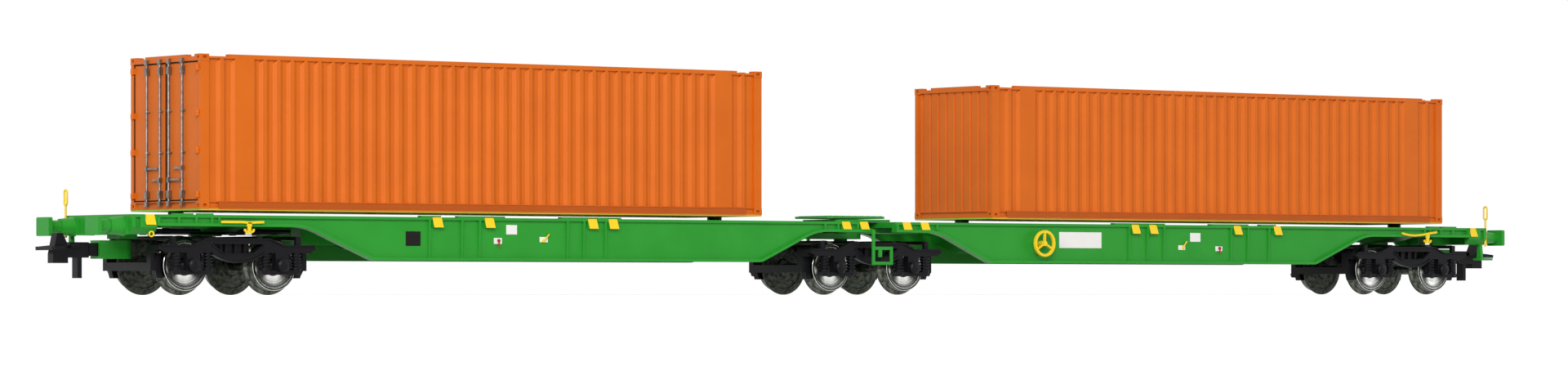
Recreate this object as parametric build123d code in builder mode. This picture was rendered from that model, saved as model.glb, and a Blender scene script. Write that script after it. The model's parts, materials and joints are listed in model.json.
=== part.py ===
from build123d import *
import os
from math import atan2, cos, sin

# Two-unit container wagon, a model at 1:87 with a shared middle bogie and two boxes.
# Millimetres. +X runs along the wagon, -Y is the near side, Z is up.
# Z = 0 is the wheel flanges' lowest point, and X = 0 is the pivot between the units.
# Each piece of a unit is drawn for unit A, on the -X side, with its near side at -Y.
# Unit B is unit A turned half a turn about Z, so A's near side is B's far side.

os.makedirs("parts", exist_ok=True)

# Running gear
flange_depth = 0.8
flange_width = 0.7
tread_r = 5.2
axle_z = tread_r + flange_depth
wheel_inner_y = 7.2
wheel_width = 2.8
wheel_hub_r = 1.9
wheel_rim = 1.0
web_recess = 0.9
rim_slope = 0.3
axle_r = 1.0
journal_r = 0.75
journal_length = 0.8
running_fit = 0.05
wheelbase_half = 10.35
pivot_x = 163.2

# Underframe
deck_z = 16.1
sill_shallow_z = 13.8
sill_deep_z = 7.1
sill_outer_y = 13.8
sill_top_y = 13.3
sill_web_y = 12.8
sill_inner_y = 11.9
sill_flange = 0.6
deck_plate = 1.2
slope_outer_top_x = pivot_x - 15.7
slope_outer_foot_x = pivot_x - 31.8
slope_inner_foot_x = 32.0
slope_inner_top_x = 17.0
slope_round = 14.0
belly_round = 3.0
end_beam_x = pivot_x + 24.6
end_beam_plate = 1.6
end_beam_half_y = 13.6
end_beam_low_z = 12.1
corner_block = 5.7
corner_block_x = end_beam_x - corner_block

# Buffers and couplings
buffer_length = 7.2
buffer_face_x = end_beam_x + buffer_length
buffer_y = 10.06
buffer_z = 13.8
buffer_head_y = 5.2
buffer_head_z = 3.8
buffer_head = 0.9
buffer_shank_r = 1.3
draw_low_z = 7.3
draw_top_z = 11.0
draw_half_y = 1.9
draw_mouth_x = end_beam_x + 0.8
draw_pivot_x = end_beam_x - 5.4
draw_pin_r = 0.8
bow_pivot_x = draw_mouth_x + 5.4
bow_pivot_z = 9.9
bow_reach = 6.2
bow_drop = 0.6
bow_half_y = 4.0

# Pivots
king_pin_r = 1.5
king_boss_r = 3.4
king_pin_depth = 4.0
bogie_top_z = 11.7
frame_boss_z = 12.0
play = 0.3

# Boxes
box_length = 140.1
box_width = 28.02
box_centre_x = 102.4
box_floor_z = 17.0
base_edge = 0.35
wall_low_z = box_floor_z + base_edge
box_wall = 1.3
post_x = 2.0
post_y = 1.05
bottom_rail = 1.55
top_rail = 0.9
front_header = 1.2
door_header = 1.35
door_sill = 1.6
rail_lip = 0.25
rail_recess = 0.4
fold_depth = 0.43
casting_x = post_x
casting_y = 1.86
casting_z = 1.36
casting_proud = 0.06
slot_share = 0.44
slot_depth = 0.4
slot_half_z = 0.3
# Name, centre X, height and -1 where the doors face -X
boxes = [
    ("a", -box_centre_x, 31.4, -1),
    ("b", box_centre_x, 30.1, 1),
]

# Bogies: name and pivot X
bogies = [("outer_a", -pivot_x), ("middle", 0.0), ("outer_b", pivot_x)]

# Sills of unit A: side, end X, wedges over the belly, wedges near the middle, belly ribs
sills = [
    ("near", 2.4, [115.5, 102.6, 76.4, 71.1], [6.2, 1.2], [117.3, 109.3, 104.9, 82.7, 78.5, 72.9]),
    ("far", 5.2, [119.5, 106.9, 80.8, 75.4], [8.3, 3.2], [117.0, 110.4, 105.1, 84.3, 79.3, 73.7]),
]


def write(part, name):
    """Label one finished piece and write it as a STEP file."""
    part.label = name
    export_step(part, f"parts/{name}.step")


def write_both(part, piece, other_piece=None):
    """Write one piece of unit A, and the same piece turned half a turn for unit B."""
    write(part, f"a_{piece}")
    write(part.rotate(Axis.Z, 180), f"b_{other_piece or piece}")


def block(x0, x1, y0, y1, z0, z1, mode=Mode.ADD):
    """Add or cut a plain block between two corners."""
    with Locations(((x0 + x1) / 2, (y0 + y1) / 2, (z0 + z1) / 2)):
        Box(abs(x1 - x0), abs(y1 - y0), abs(z1 - z0), mode=mode)


def post(x, y, z0, z1, radius, mode=Mode.ADD):
    """Add or cut an upright cylinder between two heights."""
    with Locations((x, y, z0)):
        Cylinder(radius, z1 - z0, align=(Align.CENTER, Align.CENTER, Align.MIN), mode=mode)


# Side sills: a fishbelly web with flanges, ribs and raised deck tabs
rib = 0.5
outer_ribs = [5.2, 9.2, 12.8, 14.5]
middle_ribs = [2.9, 8.3, 11.9]
tab_height = 0.3
# Raised tabs on the deck's edge: first and last X
belly_tabs = [(114.3, 119.5), (98.7, 110.3), (69.0, 84.4)]
outer_tabs = [(4.1, 8.5), (9.8, 13.1)]
guide_width = 2.3
guide_drop = 2.1
guide_play = 0.05
guide_corner = 1.5


def sill_view(end_x):
    """Side view of a sill, with its slopes rounded."""
    with BuildSketch() as view:
        with BuildLine():
            Polyline(
                (-corner_block_x, deck_z),
                (-corner_block_x, sill_shallow_z),
                (-slope_outer_top_x, sill_shallow_z),
                (-slope_outer_foot_x, sill_deep_z),
                (-slope_inner_foot_x, sill_deep_z),
                (-slope_inner_top_x, sill_shallow_z),
                (-end_x, sill_shallow_z),
                (-end_x, deck_z),
                close=True,
            )
        make_face()
        fillet(view.vertices().group_by(Axis.Y)[0], belly_round)
        fillet(view.vertices().filter_by_position(Axis.Y, sill_shallow_z, sill_shallow_z)
               .sort_by(Axis.X)[1:3], slope_round)
    return view.sketch


def sill_rib(x):
    """A thin plate from the top flange's edge down to the foot of the web."""
    over_belly = slope_inner_foot_x < x < slope_outer_foot_x
    low_z = sill_deep_z if over_belly else sill_shallow_z
    foot_y = sill_web_y + rib / 2 if over_belly else sill_top_y
    with BuildSketch(Plane.YZ.offset(-x - rib / 2)) as plate:
        with BuildLine():
            Polyline(
                (-sill_web_y, deck_z - sill_flange),
                (-sill_top_y, deck_z - sill_flange),
                (-foot_y, low_z + sill_flange),
                (-sill_web_y, low_z + sill_flange),
                close=True,
            )
        make_face()
    extrude(plate.sketch, amount=rib)


def sill(end_x, belly_wedges, middle_wedges, belly_ribs):
    view = sill_view(end_x)
    with BuildPart() as made:
        with BuildSketch(Plane.XZ.offset(sill_inner_y)):
            add(view)
        extrude(amount=sill_outer_y - sill_inner_y)
        with BuildSketch(Plane.XZ.offset(sill_web_y)):
            add(view)
            offset(amount=-sill_flange, kind=Kind.INTERSECTION)
        extrude(amount=sill_outer_y - sill_web_y, mode=Mode.SUBTRACT)
        block(-corner_block_x, -end_x, -sill_outer_y, -sill_top_y, deck_z - sill_flange, deck_z,
              mode=Mode.SUBTRACT)
        for x in belly_ribs + [corner_block_x - inset for inset in outer_ribs]:
            sill_rib(x)
        for inset in middle_ribs:
            sill_rib(end_x + inset)
        for x0, x1 in belly_tabs + [(corner_block_x - far, corner_block_x - near) for near, far in outer_tabs]:
            block(-x1, -x0, -sill_top_y, -sill_inner_y, deck_z, deck_z + tab_height)
        for x in belly_wedges + [end_x + inset for inset in middle_wedges]:
            block(-x - guide_width / 2 - guide_play, -x + guide_width / 2 + guide_play,
                  -sill_outer_y, -sill_web_y, sill_shallow_z + sill_flange, deck_z + tab_height,
                  mode=Mode.SUBTRACT)
    return made.part


# Guide wedges: yellow plates that lead a box down between the sills
guide_top = 0.3
guide_foot = 1.1


def wedge(x, low_z):
    """One wedge on the near sill's web, sloping outwards on its way down."""
    with BuildSketch(Plane.YZ.offset(x - guide_width / 2)) as section:
        with BuildLine():
            Polyline(
                (-sill_web_y, low_z),
                (-sill_web_y - guide_foot, low_z),
                (-sill_web_y - guide_top, deck_z),
                (-sill_web_y, deck_z),
                close=True,
            )
        make_face()
    extrude(section.sketch, amount=guide_width)


def guides():
    with BuildPart() as made:
        for side, end_x, belly_wedges, middle_wedges, _ in sills:
            with BuildPart(mode=Mode.PRIVATE) as row:
                for x in belly_wedges + [corner_block_x + guide_corner]:
                    wedge(-x, deck_z - guide_drop)
                for inset in middle_wedges:
                    wedge(-end_x - inset, sill_shallow_z + sill_flange)
            add(row.part if side == "near" else row.part.mirror(Plane.XZ))
    return made.part


# Centre frame: pierced deck plates, hollow spine, cross bearers, air tank and brake cylinder
cross_bearers_x = [-128.0, -112.0, -96.0, -80.0, -64.0, -48.0, -36.0]
cross_bearer = 1.2
bearer_low_z = 9.4
bearer_end_z = 12.0
spine_half_y = 2.0
spine_wall = 0.8
spine_low_z = 10.4
bearer_foot_y = spine_half_y + 1.0
outer_plate_x = slope_outer_top_x - 6.0
inner_plate_x = slope_inner_top_x + 18.0
window_y = 5.6
window_rib = 2.4
window_corner = 0.9
window_place_y = 7.2
bolster_margin = 1.0
tank_y = 6.2
tank_z = 11.2
tank_r = 2.2
brake_cylinder = 9.0
brake_cylinder_r = 1.7


def deck_holes(x0, x1, count):
    """Cut a row of rounded windows through a deck plate, on each side of the spine."""
    pitch = (x1 - x0) / count
    with BuildSketch(Plane.XY.offset(deck_z - deck_plate)) as windows:
        for y in (-window_place_y, window_place_y):
            with Locations(((x0 + x1) / 2, y)):
                with GridLocations(pitch, 1, count, 1):
                    Rectangle(pitch - window_rib, window_y)
        chamfer(windows.vertices(), window_corner)
    extrude(windows.sketch, amount=deck_plate, mode=Mode.SUBTRACT)


def centre_frame():
    plate_low_z = deck_z - deck_plate
    middle_end_x = sills[1][1] + play
    with BuildPart() as made:
        block(-end_beam_x + end_beam_plate, -outer_plate_x, -sill_inner_y, sill_inner_y, plate_low_z, deck_z)
        block(-inner_plate_x, -middle_end_x, -sill_inner_y, sill_inner_y, plate_low_z, deck_z)
        deck_holes(-pivot_x + king_boss_r + bolster_margin, -outer_plate_x, 2)
        deck_holes(-corner_block_x, -pivot_x - king_boss_r - bolster_margin, 2)
        deck_holes(-inner_plate_x, -slope_inner_top_x, 3)
        block(-outer_plate_x, -inner_plate_x, -spine_half_y, spine_half_y, spine_low_z, deck_z)
        for x in cross_bearers_x:
            with BuildSketch(Plane.YZ.offset(x - cross_bearer / 2)):
                with BuildLine():
                    Polyline(
                        (-sill_inner_y, deck_z),
                        (-sill_inner_y, bearer_end_z),
                        (-bearer_foot_y, bearer_low_z),
                        (bearer_foot_y, bearer_low_z),
                        (sill_inner_y, bearer_end_z),
                        (sill_inner_y, deck_z),
                        close=True,
                    )
                make_face()
            extrude(amount=cross_bearer)
        block(-outer_plate_x + spine_wall, -inner_plate_x - spine_wall, -spine_half_y + spine_wall,
              spine_half_y - spine_wall, bearer_low_z, deck_z - spine_wall, mode=Mode.SUBTRACT)
        tank_x0, tank_x1 = cross_bearers_x[4], cross_bearers_x[5]
        with BuildSketch(Plane.YZ.offset(tank_x0)):
            with Locations((-tank_y, tank_z)):
                Circle(tank_r)
        extrude(amount=tank_x1 - tank_x0)
        cylinder_x1 = cross_bearers_x[3]
        with BuildSketch(Plane.YZ.offset(cylinder_x1 - brake_cylinder)):
            with Locations((tank_y, tank_z)):
                Circle(brake_cylinder_r)
        extrude(amount=brake_cylinder)
    return made.part


# Bolster over each outer bogie, with its boss and king pin
bolster_half_x = 4.0
bolster_half_y = 3.5
bolster_low_z = 12.6
bolster_end_z = 14.2


def bolster():
    plate_low_z = deck_z - deck_plate
    with BuildPart() as made:
        with BuildSketch(Plane.YZ.offset(-pivot_x - bolster_half_x)):
            with BuildLine():
                Polyline(
                    (-sill_inner_y, plate_low_z),
                    (-sill_inner_y, bolster_end_z),
                    (-bolster_half_y, bolster_low_z),
                    (bolster_half_y, bolster_low_z),
                    (sill_inner_y, bolster_end_z),
                    (sill_inner_y, plate_low_z),
                    close=True,
                )
            make_face()
        extrude(amount=2 * bolster_half_x)
        post(-pivot_x, 0, frame_boss_z, bolster_low_z, king_boss_r)
        post(-pivot_x, 0, frame_boss_z - king_pin_depth, frame_boss_z, king_pin_r)
    return made.part


# Articulation: A's arm and pin, B's arm above it, and the two cover plates
arm_half_y = 4.5
arm_thick = 1.2
arm_low_z = 12.4
arm_root_x = slope_inner_top_x + 4.0
cover_half_y = 6.8
cover_thick = 0.5
cover_corner = 1.0
lower_cover_z = 16.2
upper_cover_z = 16.9
upper_cover_x = (-8.3, 7.9)
lower_cover_x = (-6.1, 9.5)


def cover(low_z, span):
    """A loose plate over the joint, its four corners cut off."""
    with BuildSketch(Plane.XY.offset(low_z)) as plan:
        with Locations(((span[0] + span[1]) / 2, 0)):
            Rectangle(span[1] - span[0], 2 * cover_half_y)
        chamfer(plan.vertices(), cover_corner)
    extrude(plan.sketch, amount=cover_thick)


def articulation_a():
    plate_low_z = deck_z - deck_plate
    with BuildPart() as made:
        block(-arm_root_x, 0, -arm_half_y, arm_half_y, arm_low_z, arm_low_z + arm_thick)
        post(0, 0, arm_low_z, arm_low_z + arm_thick, arm_half_y)
        block(-arm_root_x, -slope_inner_top_x, -arm_half_y, arm_half_y, arm_low_z, plate_low_z)
        post(0, 0, bogie_top_z - king_pin_depth, upper_cover_z, king_pin_r)
        cover(upper_cover_z, upper_cover_x)
    return made.part


def articulation_b():
    plate_low_z = deck_z - deck_plate
    arm_z = arm_low_z + arm_thick + play / 2
    with BuildPart() as made:
        block(0, arm_root_x, -arm_half_y, arm_half_y, arm_z, plate_low_z)
        post(0, 0, arm_z, lower_cover_z, arm_half_y)
        cover(lower_cover_z, lower_cover_x)
        post(0, 0, arm_z, lower_cover_z + cover_thick, king_pin_r + running_fit, mode=Mode.SUBTRACT)
    return made.part


# End beam: a plate between two pocketed corner blocks, and the bracket for the drawbar
beam_chamfer = 1.4
pocket_depth = 0.5
draw_bracket_half_x = 2.0
draw_bracket_half_y = 2.6


def end_beam():
    plate_low_z = deck_z - deck_plate
    wedge_x = corner_block_x + guide_corner
    with BuildPart() as made:
        with BuildSketch(Plane.YZ.offset(-end_beam_x)) as face:
            with BuildLine():
                Polyline(
                    (-end_beam_half_y, end_beam_low_z + beam_chamfer),
                    (-end_beam_half_y + beam_chamfer, end_beam_low_z),
                    (end_beam_half_y - beam_chamfer, end_beam_low_z),
                    (end_beam_half_y, end_beam_low_z + beam_chamfer),
                    (end_beam_half_y, deck_z),
                    (-end_beam_half_y, deck_z),
                    close=True,
                )
            make_face()
        extrude(amount=corner_block)
        block(-end_beam_x + end_beam_plate, -corner_block_x, -sill_inner_y, sill_inner_y,
              end_beam_low_z, deck_z, mode=Mode.SUBTRACT)
        for side in (-1, 1):
            block(-wedge_x - guide_width / 2 - guide_play, -wedge_x + guide_width / 2 + guide_play,
                  side * sill_web_y, side * end_beam_half_y, deck_z - guide_drop, deck_z,
                  mode=Mode.SUBTRACT)
            block(-end_beam_x + end_beam_plate / 2, -wedge_x - guide_width,
                  side * (end_beam_half_y - pocket_depth), side * end_beam_half_y,
                  end_beam_low_z + beam_chamfer, deck_z - sill_flange, mode=Mode.SUBTRACT)
        block(-draw_pivot_x - draw_bracket_half_x, -draw_pivot_x + draw_bracket_half_x, -draw_bracket_half_y,
              draw_bracket_half_y, draw_top_z + play, plate_low_z)
        block(-end_beam_x + end_beam_plate, -draw_pivot_x - draw_bracket_half_x, -draw_bracket_half_y,
              draw_bracket_half_y, end_beam_low_z, plate_low_z)
        post(-draw_pivot_x, 0, draw_low_z, draw_top_z + play, draw_pin_r)
    return made.part


# Buffers: base plate, sleeve, shank and a rectangular head
base_plate = 0.6
base_plate_y = 4.4
base_plate_z = 3.4
head_corner = 0.4
sleeve_length = 3.4
sleeve_foot_r = 2.0
sleeve_taper = 6.7


def buffers():
    with BuildPart() as made:
        for y in (-buffer_y, buffer_y):
            face = Plane(origin=(-end_beam_x, y, buffer_z), x_dir=(0, 1, 0), z_dir=(-1, 0, 0))
            with BuildSketch(face):
                Rectangle(base_plate_y, base_plate_z)
            extrude(amount=base_plate)
            with BuildSketch(face):
                Circle(sleeve_foot_r)
            extrude(amount=sleeve_length, taper=sleeve_taper)
            with BuildSketch(face):
                Circle(buffer_shank_r)
            extrude(amount=buffer_length - buffer_head / 2)
            with BuildSketch(face.offset(buffer_length - buffer_head)):
                RectangleRounded(buffer_head_y, buffer_head_z, head_corner)
            extrude(amount=buffer_head)
    return made.part


# Drawbar: a hollow pocket that swings below the end beam on its pin
pocket_wall = 0.55


def drawbar():
    with BuildPart() as made:
        block(-draw_mouth_x, -draw_pivot_x, -draw_half_y, draw_half_y, draw_low_z, draw_top_z)
        post(-draw_pivot_x, 0, draw_low_z, draw_top_z, draw_half_y)
        block(-draw_mouth_x, -draw_mouth_x + shank_length, -draw_half_y + pocket_wall,
              draw_half_y - pocket_wall, draw_low_z + pocket_wall, draw_top_z - pocket_wall,
              mode=Mode.SUBTRACT)
        post(-draw_pivot_x, 0, draw_low_z, draw_top_z, draw_pin_r + running_fit, mode=Mode.SUBTRACT)
    return made.part


# Coupling head: shank, bar, hook block, tapered post and tail, all one moulding
shank_length = 3.6
bar_low_z = 7.5
bar_top_z = 10.6
bar_x = draw_mouth_x + 2.0
hook_x = draw_mouth_x + 10.1
hook_length = 3.4
hook_low_z = 6.4
hook_post_z = 12.4
hook_post = 1.3
tail_x = draw_mouth_x + 4.1
tail_half = 0.5
tail_low_z = 3.4
head_half_y = 1.1
hook_nose = 0.9
hook_chamfer = 0.7
hook_throat = 0.6
bow_seat = 0.9
bow_pin_r = 0.45


def coupling_head():
    hook_inner_x = hook_x - hook_length
    post_x1 = hook_x - hook_nose
    with BuildPart() as made:
        block(-bar_x, -draw_mouth_x + shank_length, -draw_half_y + pocket_wall,
              draw_half_y - pocket_wall, draw_low_z + pocket_wall, draw_top_z - pocket_wall)
        with BuildSketch(Plane.XZ.offset(-head_half_y)):
            with BuildLine():
                Polyline(
                    (-bar_x, bar_low_z),
                    (-tail_x + tail_half, bar_low_z),
                    (-tail_x + tail_half, tail_low_z),
                    (-tail_x - tail_half, tail_low_z),
                    (-tail_x - tail_half, bar_low_z),
                    (-hook_inner_x, bar_low_z),
                    (-hook_inner_x, hook_low_z),
                    (-hook_x, hook_low_z),
                    (-hook_x, bar_low_z + hook_chamfer),
                    (-post_x1, hook_post_z),
                    (-post_x1 + hook_post, hook_post_z),
                    (-hook_inner_x, bar_top_z - hook_throat),
                    (-bow_pivot_x - bow_seat, bar_top_z),
                    (-bar_x, bar_top_z),
                    close=True,
                )
            make_face()
            with Locations((-bow_pivot_x, bow_pivot_z)):
                Circle(bow_pin_r, mode=Mode.SUBTRACT)
        extrude(amount=2 * head_half_y)
    return made.part


# Bow: a stamped loop on a pin through the coupling head
bow_strip = 0.7
bow_arm_y = 1.9
bow_shoulder = 3.0
bow_straight = 1.2


def bow():
    tilt = atan2(bow_drop, bow_reach)
    level = Plane(origin=(-bow_pivot_x, 0, bow_pivot_z), x_dir=(-cos(tilt), 0, -sin(tilt)),
                  z_dir=(-sin(tilt), 0, cos(tilt)))
    inner_y = bow_arm_y - bow_strip / 2
    with BuildPart() as made:
        with BuildSketch(level.offset(-bow_strip / 2)) as plan:
            with BuildLine():
                Polyline(
                    (-bow_strip, inner_y + bow_strip),
                    (bow_straight, inner_y + bow_strip),
                    (bow_reach - bow_shoulder, bow_half_y),
                    (bow_reach, bow_half_y),
                    (bow_reach, -bow_half_y),
                    (bow_reach - bow_shoulder, -bow_half_y),
                    (bow_straight, -inner_y - bow_strip),
                    (-bow_strip, -inner_y - bow_strip),
                    close=True,
                )
            make_face()
            fillet(plan.vertices().sort_by(Axis.X)[-2:], bow_strip)
            with BuildLine():
                Polyline(
                    (-bow_strip, inner_y),
                    (bow_straight, inner_y),
                    (bow_reach - bow_shoulder, bow_half_y - bow_strip),
                    (bow_reach - bow_strip, bow_half_y - bow_strip),
                    (bow_reach - bow_strip, -bow_half_y + bow_strip),
                    (bow_reach - bow_shoulder, -bow_half_y + bow_strip),
                    (bow_straight, -inner_y),
                    (-bow_strip, -inner_y),
                    close=True,
                )
            make_face(mode=Mode.SUBTRACT)
        extrude(amount=bow_strip)
        with BuildSketch(Plane.XZ.offset(-inner_y - bow_strip / 2)):
            with Locations((-bow_pivot_x, bow_pivot_z)):
                Circle(bow_pin_r - running_fit)
        extrude(amount=2 * inner_y + bow_strip)
    return made.part


# Shunter's grip: a post on the end beam's corner with a long loop
grip_r = 0.3
grip_low_z = end_beam_low_z - 0.5
grip_top_z = 21.5
grip_loop = 3.2
grip_loop_width = 1.6


def grip():
    post_x0 = -end_beam_x - grip_r
    post_y0 = end_beam_half_y - 2 * grip_r
    with BuildPart() as made:
        post(post_x0, post_y0, grip_low_z, grip_top_z - grip_loop + grip_r, grip_r)
        face = Plane(origin=(post_x0 - grip_r, post_y0, grip_top_z - grip_loop / 2), x_dir=(0, 1, 0),
                     z_dir=(1, 0, 0))
        with BuildSketch(face):
            SlotOverall(grip_loop, grip_loop_width, rotation=90)
            SlotOverall(grip_loop - 2 * grip_r, grip_loop_width - 2 * grip_r, rotation=90, mode=Mode.SUBTRACT)
        extrude(amount=2 * grip_r)
    return made.part


# Corner step: a tread below the end beam's corner on a bent hanger
step_tread_z = 8.3
step_plate = 0.5
step_length = 4.0
step_width = 3.2
step_corner = 0.4
step_reach = 0.6
step_inset = 0.2
step_hanger = 0.8
hanger_lean = 0.4


def corner_step():
    tread_y = end_beam_half_y - step_inset - step_width / 2
    hanger_y = end_beam_half_y - beam_chamfer - step_hanger
    with BuildPart() as made:
        with BuildSketch(Plane.XY.offset(step_tread_z)):
            with Locations((-end_beam_x - step_reach, tread_y)):
                RectangleRounded(step_length, step_width, step_corner)
        extrude(amount=step_plate)
        with BuildSketch(Plane.YZ.offset(-end_beam_x)):
            with BuildLine():
                Polyline(
                    (hanger_y - hanger_lean, step_tread_z + step_plate),
                    (hanger_y, end_beam_low_z),
                    (hanger_y + step_hanger, end_beam_low_z),
                    (hanger_y + step_hanger + hanger_lean, step_tread_z + step_plate),
                    close=True,
                )
            make_face()
        extrude(amount=step_hanger)
    return made.part


# Brake changeover levers outside the sills, above the outer bogie
lever_gap = 0.6
lever_thick = 0.55
lever_stem = 1.1
# Side of unit A, first and last X from the pivot, bar height, stem X from the pivot, stem foot
levers = [
    ("near", -4.5, 5.4, 14.7, 2.0, 12.7),
    ("far", -7.3, 4.1, 14.5, -4.3, 12.4),
]
clamp_half = 1.3
clamp_r = 0.55


def brake_levers():
    with BuildPart() as made:
        for side, x0, x1, bar_z, stem_x, foot_z in levers:
            stem = -pivot_x + stem_x
            with BuildPart(mode=Mode.PRIVATE) as lever:
                with BuildSketch(Plane.XZ.offset(sill_outer_y)):
                    with Locations((-pivot_x + (x0 + x1) / 2, bar_z)):
                        SlotOverall(x1 - x0, lever_thick)
                    with Locations((stem, (bar_z + foot_z) / 2)):
                        Rectangle(lever_stem, bar_z - foot_z)
                    with Locations((stem, foot_z)):
                        SlotOverall(2 * clamp_half, 2 * clamp_r)
                extrude(amount=lever_gap)
            add(lever.part if side == "near" else lever.part.mirror(Plane.XZ))
    return made.part


# Middle step: a square frame hung outside the middle bogie, with a hook inside
step_y = 15.7
frame_bar = 0.7
frame_strip = 0.4
step_hook_x = 2.2
step_hook = 0.9
step_hook_z = 1.6
frame_x0 = -3.1
frame_x1 = 2.6
frame_z0 = 6.6
frame_z1 = 10.6


def middle_step():
    with BuildPart() as made:
        with BuildSketch(Plane.XZ.offset(step_y - frame_strip)):
            with Locations(((frame_x0 + frame_x1) / 2, (frame_z0 + frame_z1) / 2)):
                Rectangle(frame_x1 - frame_x0, frame_z1 - frame_z0)
                Rectangle(frame_x1 - frame_x0 - 2 * frame_bar, frame_z1 - frame_z0 - 2 * frame_bar,
                          mode=Mode.SUBTRACT)
            with Locations((frame_x0 + step_hook_x, frame_z1 - frame_bar)):
                Rectangle(step_hook, step_hook_z, align=(Align.CENTER, Align.MAX))
        extrude(amount=frame_strip)
        block(frame_x0, frame_x0 + frame_bar, -step_y, -step_y + frame_strip, frame_z1 - frame_bar,
              sill_shallow_z + sill_flange)
        block(frame_x0, frame_x0 + frame_bar, -step_y, -sill_outer_y, sill_shallow_z,
              sill_shallow_z + sill_flange)
    return made.part


# Locating pegs for a box, on the centre line
peg_inset = 2.45
peg_r = 1.6
peg_pin_r = 0.8
peg_pin = 0.8
peg_play = 0.1
peg_places = [-box_centre_x - box_length / 2 + peg_inset, -box_centre_x + box_length / 2 - peg_inset]


def pegs():
    with BuildPart() as made:
        for x in peg_places:
            post(x, 0, deck_z, box_floor_z, peg_r)
            post(x, 0, box_floor_z, box_floor_z + peg_pin, peg_pin_r)
    return made.part


# Parking brake wheel of unit B, on its near sill
hand_wheel_x = 47.0
hand_wheel_z = 11.6
hand_wheel_r = 3.0
hand_wheel_rim = 0.6
hand_wheel_spoke = 0.42
hand_wheel_gap = 1.2


def hand_wheel():
    face = Plane.XZ.offset(sill_outer_y + hand_wheel_gap - hand_wheel_rim)
    with BuildPart() as made:
        with BuildSketch(face):
            with Locations((hand_wheel_x, hand_wheel_z)):
                Circle(hand_wheel_r)
                Circle(hand_wheel_r - hand_wheel_rim, mode=Mode.SUBTRACT)
                Circle(hand_wheel_rim)
                with PolarLocations(0, 3, 90):
                    Rectangle(hand_wheel_r - hand_wheel_rim / 2, hand_wheel_spoke,
                              align=(Align.MIN, Align.CENTER))
        extrude(amount=hand_wheel_rim)
        with BuildSketch(Plane.XZ.offset(sill_web_y)):
            with Locations((hand_wheel_x, hand_wheel_z)):
                Circle(hand_wheel_rim)
        extrude(amount=sill_outer_y + hand_wheel_gap - sill_web_y)
    return made.part


for side, end_x, belly_wedges, middle_wedges, belly_ribs in sills:
    rail = sill(end_x, belly_wedges, middle_wedges, belly_ribs)
    if side == "near":
        write_both(rail, "sill_near", "sill_far")
    else:
        write_both(rail.mirror(Plane.XZ), "sill_far", "sill_near")
write_both(guides(), "guide_wedges")
write_both(centre_frame(), "centre_frame")
write_both(bolster(), "bolster")
write_both(end_beam(), "end_beam")
write_both(buffers(), "buffers")
write_both(drawbar(), "drawbar")
write_both(coupling_head(), "coupling_head")
write_both(bow(), "coupling_bow")
write_both(grip(), "shunter_grip")
write_both(corner_step(), "corner_step")
write_both(brake_levers(), "brake_levers")
write_both(middle_step(), "middle_step")
write_both(pegs(), "box_pegs")
write(articulation_a(), "a_articulation_arm")
write(articulation_b(), "b_articulation_arm")
write(hand_wheel(), "b_hand_wheel")


# Bogies: side frames with a curved lower chord, axle boxes and springs
side_inner_y = 11.6
side_thick = 1.6
side_outer_y = side_inner_y + side_thick
side_top_z = 10.0
side_crown_z = 11.35
side_low_z = 8.5
side_end_z = 9.2
belly_z = 6.65
side_half_x = wheelbase_half + 7.85
crown_half_x = wheelbase_half - 2.85
crown_slope = 3.0
end_slant = 1.5
chord_half_x = wheelbase_half - 4.25
window_half_x = wheelbase_half - 4.4
window_low_z = 8.4
window_top_z = 10.35
window_foot = 2.6
window_cut = 0.5
window_bars_x = [-2.2, 0.0, 2.2]
window_bar = 0.5
window_bar_depth = 0.5
side_middle_y = side_inner_y + side_thick / 2
spring_core_r = 0.8
spring_flats = 8
spring_offset = 3.6
seat_half = 4.5
seat_z = 4.1
seat_thick = 0.9
axlebox_half = 1.5
axlebox_cover_r = 1.3
axlebox_cover = 0.6


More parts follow.
